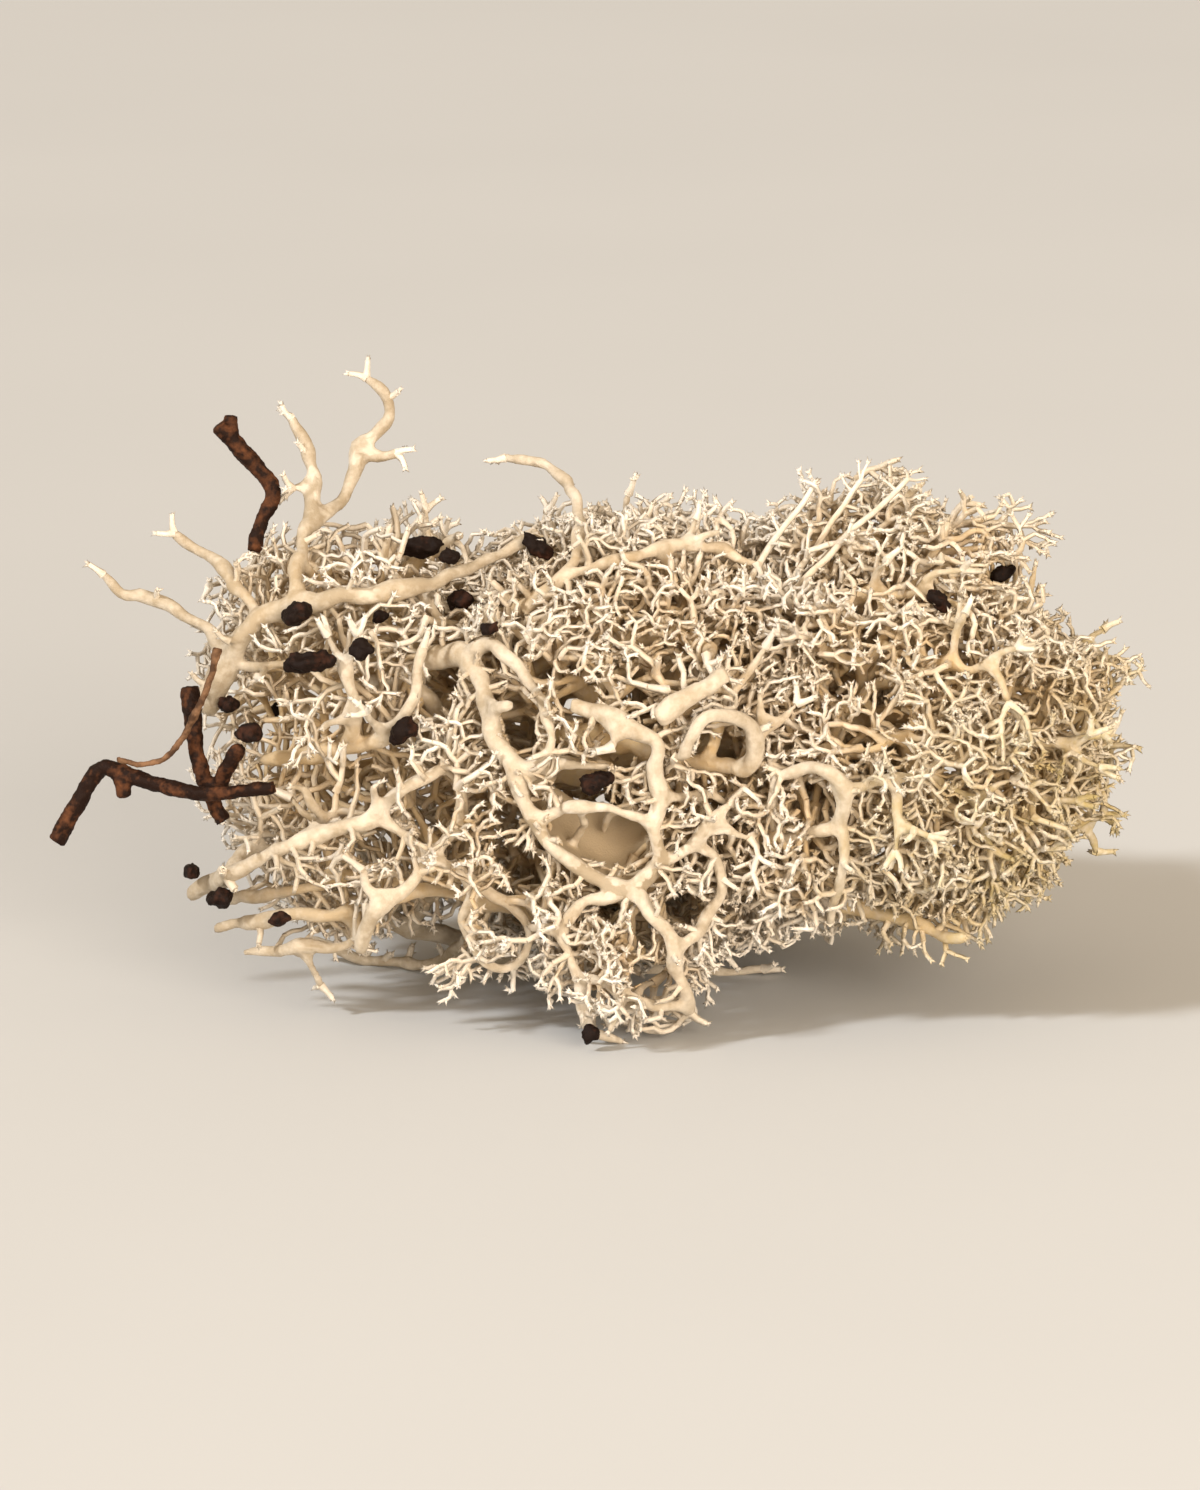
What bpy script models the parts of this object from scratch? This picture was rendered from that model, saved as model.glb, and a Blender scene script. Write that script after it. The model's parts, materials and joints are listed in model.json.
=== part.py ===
"""Reindeer moss clump: a loose handful of lichen, lying on a table.

The clump is a tangle of separate podetia, the branched stems of a cushion
lichen. Their old ends lie together at the left, and their crowns fill the
right. Bits of heather twig, a rootlet, a broken stem and crumbs of bark are
caught between them. Each podetium, twig and crumb is one closed solid.

Lengths are in millimetres until a mesh is made. X runs from the old ends to
the crowns, Y runs away from the front, and Z is up from the table.
"""

import math
import random

import bmesh
import bpy
from mathutils import Matrix, Vector
from mathutils.bvhtree import BVHTree
from mathutils.kdtree import KDTree

MM = 0.001

# --------------------------------------------------------------------------
# Driving sizes, in millimetres
# --------------------------------------------------------------------------

# The clump's middle over the table, which becomes the origin.
MIDDLE = Vector((-0.35, 1.33, 0.0))
SHIFT = -MIDDLE

# Round lobes that the branching fills: centre and half sizes.
LOBES = (
    ((17.0, -2.0, 14.5), (13.0, 13.0, 11.5)),   # crown at the right
    ((2.0, 0.0, 14.0), (14.0, 15.0, 13.0)),     # middle
    ((-13.0, 1.0, 14.5), (10.5, 12.0, 12.0)),   # old ends at the left
    ((3.0, 10.0, 12.0), (16.0, 9.0, 11.0)),     # back
    ((1.5, -13.0, 4.5), (5.0, 4.0, 4.5)),       # foot at the front
    ((-12.0, -7.0, 7.0), (9.0, 7.0, 5.0)),      # low left
)

STEM_STEP = 1.6          # spacing of points along a stem
WELD_REACH = 0.9          # a stem that starts this near another joins it
STEM_TAPER = 0.62         # a stem's end radius over its first radius
BUD_EVERY = 3             # points between side shoots on a stem
BUD_FIRST = 2             # first point of a stem that may bud
BUD_ANGLE = math.radians(62.0)
FORK_ANGLE = (math.radians(28.0), math.radians(52.0))
FORK_ROUNDS = 2
FORK_TRIES = 9
SHOOT_LENGTH = (2.2, 4.2)  # shortest and longest shoot
SHOOT_DEPTH_SHARE = 0.35   # extra length for each millimetre of depth
SHOOT_TAPER = 0.8
SHOOT_SPREAD = (0.8, 1.1)  # a shoot's length over the length worked out for it
SHOOT_CLEAR = 0.45         # share of its length in which a shoot ignores others
BUD_SPREAD = 0.35          # share of the fork angle by which a side bud varies
TURN_SPREAD = 0.7          # radians by which a shoot strays round its fork
CHILDREN = (2, 2, 3)       # shoots at a fork, drawn from these
THINNEST = 0.36            # thinnest stem or shoot, apart from the rootlet
OWN_GAP = 0.45             # between shoots of one podetium
OTHER_GAP = 0.6            # between podetia
GAP_REACH = 1.6            # largest gap that matters to a shoot
WIDEST_LINK = 1.0          # added to a search for the radius of what it finds
OUTSIDE = 0.6              # how far a shoot may stand out of the lobes
SPUR_GAP = 0.32            # between a spur and what it rests against
SPUR_REACH = 6.0           # centre distance within which a spur is looked for
TABLE_GAP = 0.5            # between a shoot and the table
CELL = 2.0                 # grid that finds neighbours
SEED = 13
STEM_GAP = 0.45           # between laid stems of different pieces
SETTLE_ROUNDS = 40
SETTLE_REACH = 3.0        # centre distance within which stems are compared
NEXT_SHARE = 0.5          # share of a push that also moves the next point
BEND = (math.radians(8.0), math.radians(26.0))  # bend at a shoot's knee
WELD = 1e-6               # metres
VOXEL_SHARE = 0.66        # grain of a branch surface over its thinnest radius
FACES_PER_MM = 6.0        # triangles for each millimetre of branch


def catmull(points, step):
    """Points of a smooth curve through the given ones, a step apart."""
    knots = [Vector(point) for point in points]
    knots = [2 * knots[0] - knots[1], *knots, 2 * knots[-1] - knots[-2]]
    line = []
    for a, b, c, d in zip(knots, knots[1:], knots[2:], knots[3:]):
        count = max(1, round((c - b).length / step))
        for index in range(count):
            t = index / count
            line.append(0.5 * (2 * b + (c - a) * t
                               + (2 * a - 5 * b + 4 * c - d) * t ** 2
                               + (3 * b - a - 3 * c + d) * t ** 3))
    line.append(knots[-2])
    return line


def depth_inside(point):
    """How deep a point lies in the clump's lobes; outside is negative."""
    depth = -math.inf
    for centre, half in LOBES:
        share = math.sqrt(sum(((p - c) / h) ** 2
                              for p, c, h in zip(point, centre, half)))
        depth = max(depth, (1.0 - share) * min(half))
    return depth


def tilted(direction, angle, azimuth):
    """The direction turned away from itself by an angle, at an azimuth."""
    side = direction.orthogonal().normalized()
    other = direction.cross(side)
    return (direction * math.cos(angle)
            + side * (math.sin(angle) * math.cos(azimuth))
            + other * (math.sin(angle) * math.sin(azimuth))).normalized()


class Thicket:
    """Branch points of every podetium, in a grid that finds neighbours."""

    def __init__(self):
        self.points = []
        self.headings = []
        self.radii = []
        self.owners = []
        self.links = []
        self.runs = []
        self.cells = {}

    def add(self, point, radius, owner, parent=None):
        """Add a branch point, linked to its parent; returns its number."""
        number = len(self.points)
        self.points.append(Vector(point))
        heading = Vector((1.0, 0.0, 0.0))
        if parent is not None:
            heading = (self.points[number] - self.points[parent]).normalized()
        self.headings.append(heading)
        self.radii.append(radius)
        self.owners.append(owner)
        self._enter(self.points[number], radius, number)
        if parent is not None:
            self.link(parent, number)
        return number

    def link(self, first, second):
        """Join two branch points, and enter the middle of the link."""
        self.links.append((first, second))
        middle = (self.points[first] + self.points[second]) / 2
        radius = (self.radii[first] + self.radii[second]) / 2
        self._enter(middle, radius, second)

    def enter_all(self):
        """Fill the grid afresh, after points have moved."""
        self.cells = {}
        for number, point in enumerate(self.points):
            self._enter(point, self.radii[number], number)
        for first, second in self.links:
            middle = (self.points[first] + self.points[second]) / 2
            radius = (self.radii[first] + self.radii[second]) / 2
            self._enter(middle, radius, second)

    def _enter(self, point, radius, number):
        key = tuple(int(value // CELL) for value in point)
        self.cells.setdefault(key, []).append((*point, radius, number))

    def gap(self, point, radius, owner, skip, reach):
        """Least gap from a ball to other branches, with OTHER_GAP taken off."""
        x, y, z = point
        far = reach + radius + WIDEST_LINK
        low = [int((value - far) // CELL) for value in point]
        high = [int((value + far) // CELL) + 1 for value in point]
        least = reach
        for i in range(low[0], high[0]):
            for j in range(low[1], high[1]):
                for k in range(low[2], high[2]):
                    for qx, qy, qz, other, number in self.cells.get((i, j, k), ()):
                        if number in skip:
                            continue
                        space = math.sqrt((qx - x) ** 2 + (qy - y) ** 2
                                          + (qz - z) ** 2) - other - radius
                        if self.owners[number] != owner:
                            space -= OTHER_GAP - OWN_GAP
                        least = min(least, space)
        return least

    def near(self, start, reach):
        """Numbers of the branch points within a distance of one."""
        centre = self.points[start]
        low = [int((value - reach) // CELL) for value in centre]
        high = [int((value + reach) // CELL) + 1 for value in centre]
        found = set()
        for i in range(low[0], high[0]):
            for j in range(low[1], high[1]):
                for k in range(low[2], high[2]):
                    for x, y, z, _, number in self.cells.get((i, j, k), ()):
                        if (Vector((x, y, z)) - centre).length < reach:
                            found.add(number)
        return found


# --------------------------------------------------------------------------
# The podetia: thickest radius, then each stem's points, main stem first
# --------------------------------------------------------------------------

PODETIA = {
    # Open network low at the front left, over an arch.
    "low_web_podetium": (0.62, (
        ((-22.5, -6.0, 6.5), (-19.0, -9.5, 9.0), (-15.5, -10.5, 11.0),
         (-12.0, -10.5, 12.0), (-10.5, -10.5, 13.5), (-8.5, -10.5, 15.0)),
        ((-11.5, -10.5, 12.5), (-10.4, -10.7, 11.0), (-9.0, -11.5, 10.0),
         (-6.6, -12.0, 8.6), (-4.6, -12.0, 7.6)),
        ((-13.0, -12.5, 4.8), (-12.4, -13.2, 6.7), (-10.6, -12.8, 8.6),
         (-9.0, -11.5, 10.0)),
        ((-9.0, -11.5, 10.0), (-7.3, -10.7, 11.6), (-7.4, -10.4, 13.6),
         (-8.5, -10.5, 15.0)),
        ((-6.6, -12.0, 8.6), (-7.0, -12.4, 6.4), (-6.3, -12.7, 4.5),
         (-4.7, -12.7, 4.2), (-3.4, -12.5, 5.6), (-4.6, -12.0, 7.6)),
    )),
    # Open network in the middle of the front, with the broad oval opening.
    "front_web_podetium": (0.72, (
        ((-13.0, -3.5, 17.5), (-9.5, -6.0, 19.6), (-7.2, -8.0, 20.6),
         (-6.2, -10.2, 19.0), (-5.4, -11.8, 17.0), (-4.2, -13.0, 15.0),
         (-3.4, -13.4, 12.5), (-1.8, -13.8, 10.5), (1.8, -14.2, 8.6),
         (3.4, -15.0, 7.4), (4.5, -15.3, 5.6), (4.9, -14.8, 3.6),
         (5.4, -14.0, 1.8)),
        ((-7.2, -8.0, 20.6), (-5.7, -9.2, 21.4), (-4.1, -10.9, 20.4),
         (-2.6, -12.6, 18.4), (-2.4, -13.3, 16.4), (-4.2, -13.0, 15.0)),
        ((1.8, -14.2, 8.6), (3.7, -13.9, 10.0), (3.3, -14.2, 12.0),
         (1.0, -14.5, 13.4), (-1.8, -14.0, 13.2), (-3.4, -13.4, 12.5)),
        ((3.7, -13.9, 10.0), (5.5, -13.9, 11.4), (7.6, -13.3, 13.4)),
        ((5.5, -13.9, 11.4), (7.2, -13.0, 9.2), (6.4, -13.6, 7.2),
         (4.5, -15.3, 5.6)),
        ((-1.2, -13.2, 18.6), (1.4, -13.8, 18.2), (3.4, -14.2, 17.3),
         (3.7, -14.4, 15.6), (3.3, -14.2, 12.0)),
        ((1.8, -14.2, 8.6), (-0.4, -14.2, 8.1), (-1.6, -14.6, 6.4),
         (-0.8, -15.2, 4.2), (-0.6, -15.0, 2.2), (0.2, -14.6, 0.6),
         (1.6, -14.2, 0.1)),
        ((-0.8, -15.2, 4.2), (1.5, -15.8, 3.6), (3.6, -15.2, 2.4),
         (5.4, -14.0, 1.8)),
    )),
    # Curled branch above the oval opening.
    "hooked_podetium": (0.6, (
        ((-3.0, -7.0, 16.0), (2.0, -9.0, 15.6), (6.0, -11.0, 15.0),
         (8.4, -13.0, 15.6), (9.0, -13.6, 17.2), (8.0, -14.1, 18.5),
         (6.4, -14.6, 18.4), (5.2, -15.0, 17.4), (5.0, -15.1, 16.5)),
        ((6.0, -11.0, 15.0), (7.5, -10.5, 18.5), (9.5, -10.0, 21.5)),
    )),
    # Ring of branches at the front right.
    "ring_podetium": (0.6, (
        ((3.0, -7.0, 10.5), (8.0, -10.0, 10.8), (11.6, -12.8, 11.3),
         (13.4, -13.8, 12.4), (13.7, -14.3, 14.2), (12.2, -14.2, 15.7),
         (10.4, -13.3, 15.0), (9.6, -12.9, 13.2), (10.0, -12.6, 11.6)),
        ((13.4, -13.8, 12.4), (13.8, -13.9, 10.4), (13.4, -13.0, 8.4),
         (13.0, -11.8, 6.4)),
        ((13.7, -14.3, 14.2), (16.0, -13.6, 15.0), (18.5, -12.0, 14.5)),
    )),
    # Long thin stems side by side, low at the left.
    "low_long_podetium": (0.45, (
        ((-21.0, -7.0, 4.9), (-17.2, -9.6, 6.0), (-13.3, -10.2, 6.4),
         (-10.0, -8.8, 7.2), (-6.0, -7.5, 6.4), (-1.0, -8.0, 5.0)),
        ((-20.6, -5.2, 5.9), (-17.0, -8.0, 7.1), (-13.2, -8.6, 8.3),
         (-10.0, -8.8, 7.2)),
        ((-19.4, -8.0, 3.5), (-16.2, -9.4, 4.2), (-13.4, -9.8, 4.9),
         (-13.3, -10.2, 6.4)),
        ((-16.0, 3.6, 1.2), (-12.0, 2.8, 0.3), (-8.5, 0.4, 1.2),
         (-7.2, -3.5, 3.6), (-6.0, -7.5, 6.4)),
    )),
    # Bare branching ends that stand up at the left.
    "bare_topped_podetium": (0.55, (
        ((-21.5, -3.5, 16.5), (-20.4, -4.6, 19.6), (-18.6, -5.2, 22.0),
         (-16.5, -5.6, 23.0), (-13.5, -6.0, 23.4), (-9.8, -5.4, 23.8),
         (-6.5, -3.4, 24.6), (-3.5, -1.8, 25.6)),
        ((-16.5, -5.6, 23.0), (-16.5, -3.0, 24.7), (-15.5, 0.0, 26.2),
         (-14.0, 2.8, 27.2), (-13.5, 4.0, 28.8), (-13.3, 4.4, 29.8),
         (-12.3, 4.5, 30.4), (-11.7, 4.8, 31.4), (-11.8, 5.0, 32.4),
         (-12.7, 5.2, 33.4)),
        ((-13.3, 4.4, 29.8), (-12.2, 4.0, 29.5), (-10.9, 4.0, 29.4)),
        ((-15.5, 0.0, 26.2), (-15.7, 2.0, 28.0), (-16.0, 3.0, 29.8),
         (-16.9, 3.5, 31.8)),
        ((-18.6, -5.2, 22.0), (-19.8, -3.0, 23.4), (-21.2, -1.6, 24.6),
         (-23.3, -1.0, 26.0)),
        ((-20.4, -4.6, 19.6), (-21.8, -3.6, 21.2), (-24.0, -2.4, 22.2),
         (-26.0, -1.6, 22.6), (-27.6, -1.2, 23.6)),
    )),
    # Straight rod and its forks in front of the left.
    "straight_podetium": (0.5, (
        ((-18.5, -5.5, 14.0), (-14.0, -7.6, 15.0), (-11.4, -9.2, 16.4),
         (-10.0, -9.8, 18.4), (-9.4, -8.6, 21.2)),
        ((-14.0, -7.6, 15.0), (-13.4, -9.0, 17.4), (-13.6, -9.0, 20.0)),
    )),
    # Arching thin end over the top.
    "arched_podetium": (0.55, (
        ((-10.0, -1.0, 19.5), (-6.0, -3.5, 21.4), (-3.4, -6.5, 23.2),
         (-1.6, -6.8, 24.6), (1.4, -6.0, 25.6), (5.0, -4.0, 26.0)),
        ((-1.6, -6.8, 24.6), (-0.8, -4.4, 26.2), (-0.8, -1.6, 27.4),
         (-1.6, 0.8, 28.6), (-3.2, 2.0, 29.5), (-5.2, 2.6, 29.6)),
    )),
    "right_crown_podetium": (0.8, (
        ((-3.0, -2.5, 12.5), (4.0, -3.5, 14.0), (11.0, -4.0, 15.5),
         (18.0, -5.0, 16.5), (23.0, -8.0, 15.5)),
        ((11.0, -4.0, 15.5), (16.0, -7.5, 18.5), (19.5, -9.0, 20.5)),
        ((18.0, -5.0, 16.5), (23.5, -2.5, 18.5)),
    )),
    "low_right_podetium": (0.65, (
        ((0.5, -5.0, 7.0), (7.0, -6.4, 7.4), (13.0, -7.6, 6.6),
         (17.6, -9.2, 5.8), (20.4, -11.2, 5.4)),
        ((13.0, -7.6, 6.6), (19.0, -6.0, 9.5), (24.0, -4.5, 11.0)),
    )),
    "back_right_podetium": (0.7, (
        ((-1.0, 5.0, 10.5), (7.0, 6.5, 12.0), (14.0, 6.5, 13.5),
         (20.5, 5.0, 13.0)),
        ((7.0, 6.5, 12.0), (12.5, 5.0, 17.5), (16.5, 4.5, 21.0)),
        ((7.0, 6.5, 12.0), (9.0, 8.0, 6.0), (9.8, 8.4, 2.0),
         (10.4, 8.2, 0.0)),
    )),
    "top_right_podetium": (0.65, (
        ((0.0, 0.5, 17.0), (6.0, -0.6, 19.6), (11.0, 0.0, 22.4),
         (13.4, 1.6, 26.0), (15.0, 2.2, 28.6)),
        ((11.0, 0.0, 22.4), (15.0, 0.6, 24.6), (18.2, 1.8, 28.0)),
        ((6.0, -0.6, 19.6), (11.5, -4.0, 21.5), (15.5, -5.0, 23.5)),
    )),
    "middle_podetium": (0.7, (
        ((-14.0, 0.5, 13.5), (-7.0, 0.0, 16.5), (-1.0, -3.0, 19.8),
         (4.0, -6.5, 21.5), (6.5, -9.5, 21.0)),
        ((-7.0, 0.0, 16.5), (-5.5, 3.0, 21.0), (-3.5, 4.0, 24.0)),
    )),
    "back_left_podetium": (0.6, (
        ((-20.5, 4.0, 9.5), (-15.0, 7.5, 10.0), (-9.5, 11.0, 10.5),
         (-4.0, 14.5, 11.0)),
        ((-15.0, 7.5, 10.0), (-13.5, 9.5, 5.0), (-12.6, 10.2, 1.5),
         (-12.0, 10.0, 0.0)),
        ((-15.0, 7.5, 10.0), (-13.5, 7.5, 15.0), (-10.0, 7.5, 19.5)),
    )),
    "back_podetium": (0.7, (
        ((-8.0, 5.5, 13.0), (-2.0, 8.0, 15.5), (4.0, 10.5, 17.0),
         (9.0, 11.5, 17.5)),
        ((-2.0, 8.0, 15.5), (2.5, 6.0, 20.0), (5.0, 5.0, 23.5)),
    )),
    "top_left_podetium": (0.55, (
        ((-20.5, 0.5, 15.5), (-16.5, 2.5, 18.5), (-12.0, 3.6, 21.5),
         (-8.0, 2.0, 25.0)),
        ((-16.5, 2.5, 18.5), (-18.5, 3.5, 21.5)),
    )),
    "under_podetium": (0.65, (
        ((-17.5, 0.0, 6.0), (-12.0, 0.5, 3.5), (-6.0, 1.5, 1.2),
         (0.0, 2.0, 0.4), (5.0, 1.5, 0.2), (9.5, 1.0, 0.3)),
        ((-6.0, 1.5, 1.2), (-2.0, 6.5, 2.5), (4.0, 10.5, 4.0)),
        ((0.0, 2.0, 0.4), (5.0, -2.0, 2.4), (10.0, -2.5, 4.6)),
    )),
}

# Twigs and the rootlet: radius, then the points of each stretch.
TWIGS = {
    "crossing_twig": (0.5, (
        ((-29.9, -6.0, 9.5), (-28.7, -6.0, 11.6), (-27.4, -6.0, 13.6),
         (-24.9, -7.0, 13.2), (-21.7, -8.5, 12.8), (-17.6, -10.4, 13.6)),
        ((-25.9, -6.5, 13.4), (-26.0, -6.8, 12.2)),
    )),
    "upright_twig": (0.5, (
        ((-22.4, -5.6, 18.2), (-22.2, -6.4, 16.5), (-21.9, -7.0, 14.4),
         (-21.2, -7.2, 12.2), (-20.5, -7.4, 11.0)),
        ((-21.2, -7.2, 12.2), (-20.2, -7.8, 14.2), (-19.5, -7.9, 15.4)),
    )),
    "forked_twig": (0.5, (
        ((-21.0, 2.0, 31.5), (-19.6, 2.0, 29.9), (-17.9, 1.4, 27.8),
         (-18.6, 0.6, 26.2), (-19.0, -0.4, 24.8)),
        ((-20.3, 2.0, 30.7), (-20.3, 2.4, 32.0)),
    )),
    "rootlet": (0.27, (
        ((-20.8, -6.6, 20.6), (-21.2, -7.2, 19.0), (-21.8, -7.6, 17.6),
         (-22.6, -7.6, 16.0), (-23.6, -7.6, 14.7), (-25.0, -7.4, 14.2),
         (-26.4, -7.0, 14.4)),
    )),
}

# Crumbs of bark: where each fell in, as X and height on the front plane, its
# three half sizes, and its turn about the way in.
CRUMBS = {
    "long_bark_crumb": ((-15.7, 22.9), (1.45, 0.65, 0.6), 4.0),
    "round_bark_crumb": ((-12.7, 23.6), (0.75, 0.65, 0.6), 20.0),
    "middle_bark_crumb": ((-7.4, 26.5), (0.8, 0.6, 0.6), 25.0),
    "ridge_bark_crumb": ((-9.6, 29.6), (1.3, 0.55, 0.6), 8.0),
    "arch_bark_crumb": ((-3.2, 29.5), (1.1, 0.5, 0.5), -35.0),
    "curled_bark_crumb": ((19.0, 26.4), (0.8, 0.45, 0.5), -35.0),
    "right_bark_crumb": ((22.8, 28.0), (0.75, 0.5, 0.5), 30.0),
    "oval_bark_crumb": ((0.2, 16.2), (0.95, 0.7, 0.6), 15.0),
    "low_bark_crumb": ((-20.7, 9.5), (0.75, 0.6, 0.6), 10.0),
    "corner_bark_crumb": ((-17.4, 8.3), (0.6, 0.5, 0.5), 30.0),
    "foot_bark_crumb": ((-0.2, 1.9), (0.5, 0.5, 0.5), 0.0),
    "edge_bark_crumb": ((-22.3, 11.1), (0.4, 0.9, 0.5), -20.0),
    "left_bark_crumb": ((-19.0, 18.9), (0.8, 0.9, 0.6), 0.0),
    "upper_bark_crumb": ((-16.4, 25.7), (0.9, 0.9, 0.6), 30.0),
    "small_bark_crumb": ((-11.8, 25.5), (0.55, 0.35, 0.4), 20.0),
    "thin_bark_crumb": ((-5.8, 24.9), (0.6, 0.35, 0.4), 10.0),
    "inner_bark_crumb": ((-10.5, 19.0), (0.9, 0.8, 0.6), 40.0),
    "crest_bark_crumb": ((-8.0, 28.9), (0.6, 0.45, 0.5), -15.0),
    "side_bark_crumb": ((-20.3, 20.6), (0.6, 0.5, 0.5), 0.0),
    "chip_bark_crumb": ((-18.0, 20.3), (0.5, 0.5, 0.4), 30.0),
}
CRUMB_ROUGHNESS = 0.22     # how far a crumb's corners stand in or out
FRONT_PLANE = -20.0        # Y of the plane that a crumb starts from
WAY_IN = Vector((0.0, 0.974, -0.225))
SEAT_GAP = 0.32            # between a crumb and what caught it
SEAT_STEP = 0.05
SEAT_REACH = 4.0           # how far off a crumb looks for what catches it
SEAT_STEPS = 620

# The broken length of stem: X and height on the front plane, length,
# thicker and thinner radius, and its turn about the way in.
BROKEN_STEM = ((5.4, 21.0), 4.6, (0.62, 0.52), 31.0)
BROKEN_STEM_SIDES = 12
BROKEN_STEM_EDGE = 0.18

# --------------------------------------------------------------------------
# Branching
# --------------------------------------------------------------------------

def weld_point(thicket, name, place):
    """The podetium's own branch point within reach of a place, or None."""
    best, reach = None, WELD_REACH
    for number, owner in enumerate(thicket.owners):
        space = (thicket.points[number] - place).length
        if owner == name and space < reach:
            best, reach = number, space
    return best


def lay_stems(thicket, name, radius, stems):
    """Enter hand-laid stems; returns the shoots that go on from them."""
    shoots = []
    for stem in stems:
        line = catmull(stem, STEM_STEP)
        last = len(line) - 1
        start = weld_point(thicket, name, line[0])
        end = weld_point(thicket, name, line[last])
        thick = radius if start is None else thicket.radii[start] * SHOOT_TAPER
        previous = start
        run = [] if start is None else [start]
        for index, place in enumerate(line):
            if (index == 0 and start is not None) or (index == last and end is not None):
                continue
            taper = 1.0 + (STEM_TAPER - 1.0) * index / last
            round_here = max(thick * taper, min(radius, THINNEST))
            previous = thicket.add(place, round_here, name, previous)
            run.append(previous)
            if index == last:
                shoots.append((previous, 0.0))
            elif index % BUD_EVERY == BUD_FIRST:
                shoots.append((previous, BUD_ANGLE))
        if end is not None:
            thicket.link(previous, end)
            run.append(end)
        thicket.runs.append((name, run))
    return shoots


def settle(thicket, fixed):
    """Push stems of different pieces apart until they no longer touch."""
    for _ in range(SETTLE_ROUNDS):
        beads = [(number, number) for number in range(len(thicket.points))]
        beads += thicket.links
        places = [(thicket.points[a] + thicket.points[b]) / 2 for a, b in beads]
        tree = KDTree(len(beads))
        for number, place in enumerate(places):
            tree.insert(place, number)
        tree.balance()
        pushes = [Vector() for _ in thicket.points]
        for number, (a, b) in enumerate(beads):
            thick = max(thicket.radii[a], thicket.radii[b])
            for _, other, space in tree.find_range(places[number], SETTLE_REACH):
                c, d = beads[other]
                if other <= number or thicket.owners[a] == thicket.owners[c]:
                    continue
                lack = thick + max(thicket.radii[c], thicket.radii[d]) + STEM_GAP - space
                if lack > 0.0:
                    away = (places[number] - places[other]).normalized() * (lack / 2)
                    for moved, push in ((a, away), (b, away), (c, -away), (d, -away)):
                        if push.length > pushes[moved].length:
                            pushes[moved] = push
        spread = [push.copy() for push in pushes]
        for a, b in thicket.links:
            spread[a] += pushes[b] * NEXT_SHARE
            spread[b] += pushes[a] * NEXT_SHARE
        for number, push in enumerate(spread):
            if thicket.owners[number] not in fixed:
                thicket.points[number] += push
    thicket.enter_all()


def fork(thicket, rng, shoot):
    """Grow the shoots that one bud or tip forks into; returns them."""
    number, lean = shoot
    origin = thicket.points[number]
    heading = thicket.headings[number]
    owner = thicket.owners[number]
    depth = depth_inside(origin)
    if depth < 0.0:
        return []
    radius = max(THINNEST, thicket.radii[number] * SHOOT_TAPER)
    length = min(SHOOT_LENGTH[1], SHOOT_LENGTH[0] + SHOOT_DEPTH_SHARE * depth)
    skip = thicket.near(number, length * SHOOT_CLEAR + thicket.radii[number])
    around = rng.uniform(0.0, math.tau)
    grown = []
    count = 1 if lean else rng.choice(CHILDREN)
    for child in range(count):
        best = None
        for _ in range(FORK_TRIES):
            angle = lean + rng.uniform(*FORK_ANGLE) * (BUD_SPREAD if lean else 1.0)
            azimuth = (around + math.tau * child / count
                       + rng.uniform(-TURN_SPREAD, TURN_SPREAD))
            bend = rng.uniform(*BEND)
            first = tilted(heading, angle, azimuth)
            second = tilted(first, bend, azimuth + math.pi)
            half = length * rng.uniform(*SHOOT_SPREAD) / 2
            middle = origin + first * half
            tip = middle + second * half
            if tip.z - radius < TABLE_GAP or depth_inside(tip) < -OUTSIDE:
                continue
            space = min(thicket.gap(middle, radius, owner, skip, GAP_REACH),
                        thicket.gap(tip, radius, owner, skip, GAP_REACH))
            if space > OWN_GAP and (best is None or space > best[0]):
                best = (space, middle, tip)
        if best is not None:
            knee = thicket.add(best[1], radius, owner, number)
            tip = thicket.add(best[2], radius, owner, knee)
            skip = skip | {knee, tip}
            thicket.runs.append((owner, [number, knee, tip]))
            grown.append((tip, 0.0))
    return grown


def lean_together(thicket):
    """Add short spurs until every piece rests against another one."""
    joined = {owner: owner for owner in thicket.owners}
    while len(set(joined.values())) > 1:
        beads = [(number, number) for number in range(len(thicket.points))]
        beads += thicket.links
        places = [(thicket.points[a] + thicket.points[b]) / 2 for a, b in beads]
        tree = KDTree(len(beads))
        for number, place in enumerate(places):
            tree.insert(place, number)
        tree.balance()
        nearest = (math.inf, None, None)
        for number, point in enumerate(thicket.points):
            owner = thicket.owners[number]
            if owner in TWIGS:
                continue
            for _, other, space in tree.find_range(point, SPUR_REACH):
                a, b = beads[other]
                if joined[thicket.owners[a]] == joined[owner]:
                    continue
                gap = space - thicket.radii[number] - max(thicket.radii[a],
                                                          thicket.radii[b])
                if gap < nearest[0]:
                    nearest = (gap, number, other)
        gap, number, other = nearest
        owner = thicket.owners[number]
        touched = thicket.owners[beads[other][0]]
        if gap > SPUR_GAP:
            way = (places[other] - thicket.points[number]).normalized()
            radius = min(THINNEST, thicket.radii[number])
            reach = thicket.radii[number] + gap - SPUR_GAP - radius
            if reach > radius:
                tip = thicket.add(thicket.points[number] + way * reach, radius,
                                  owner, number)
                thicket.runs.append((owner, [number, tip]))
        old, new = joined[touched], joined[owner]
        joined = {name: new if group == old else group
                  for name, group in joined.items()}


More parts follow.
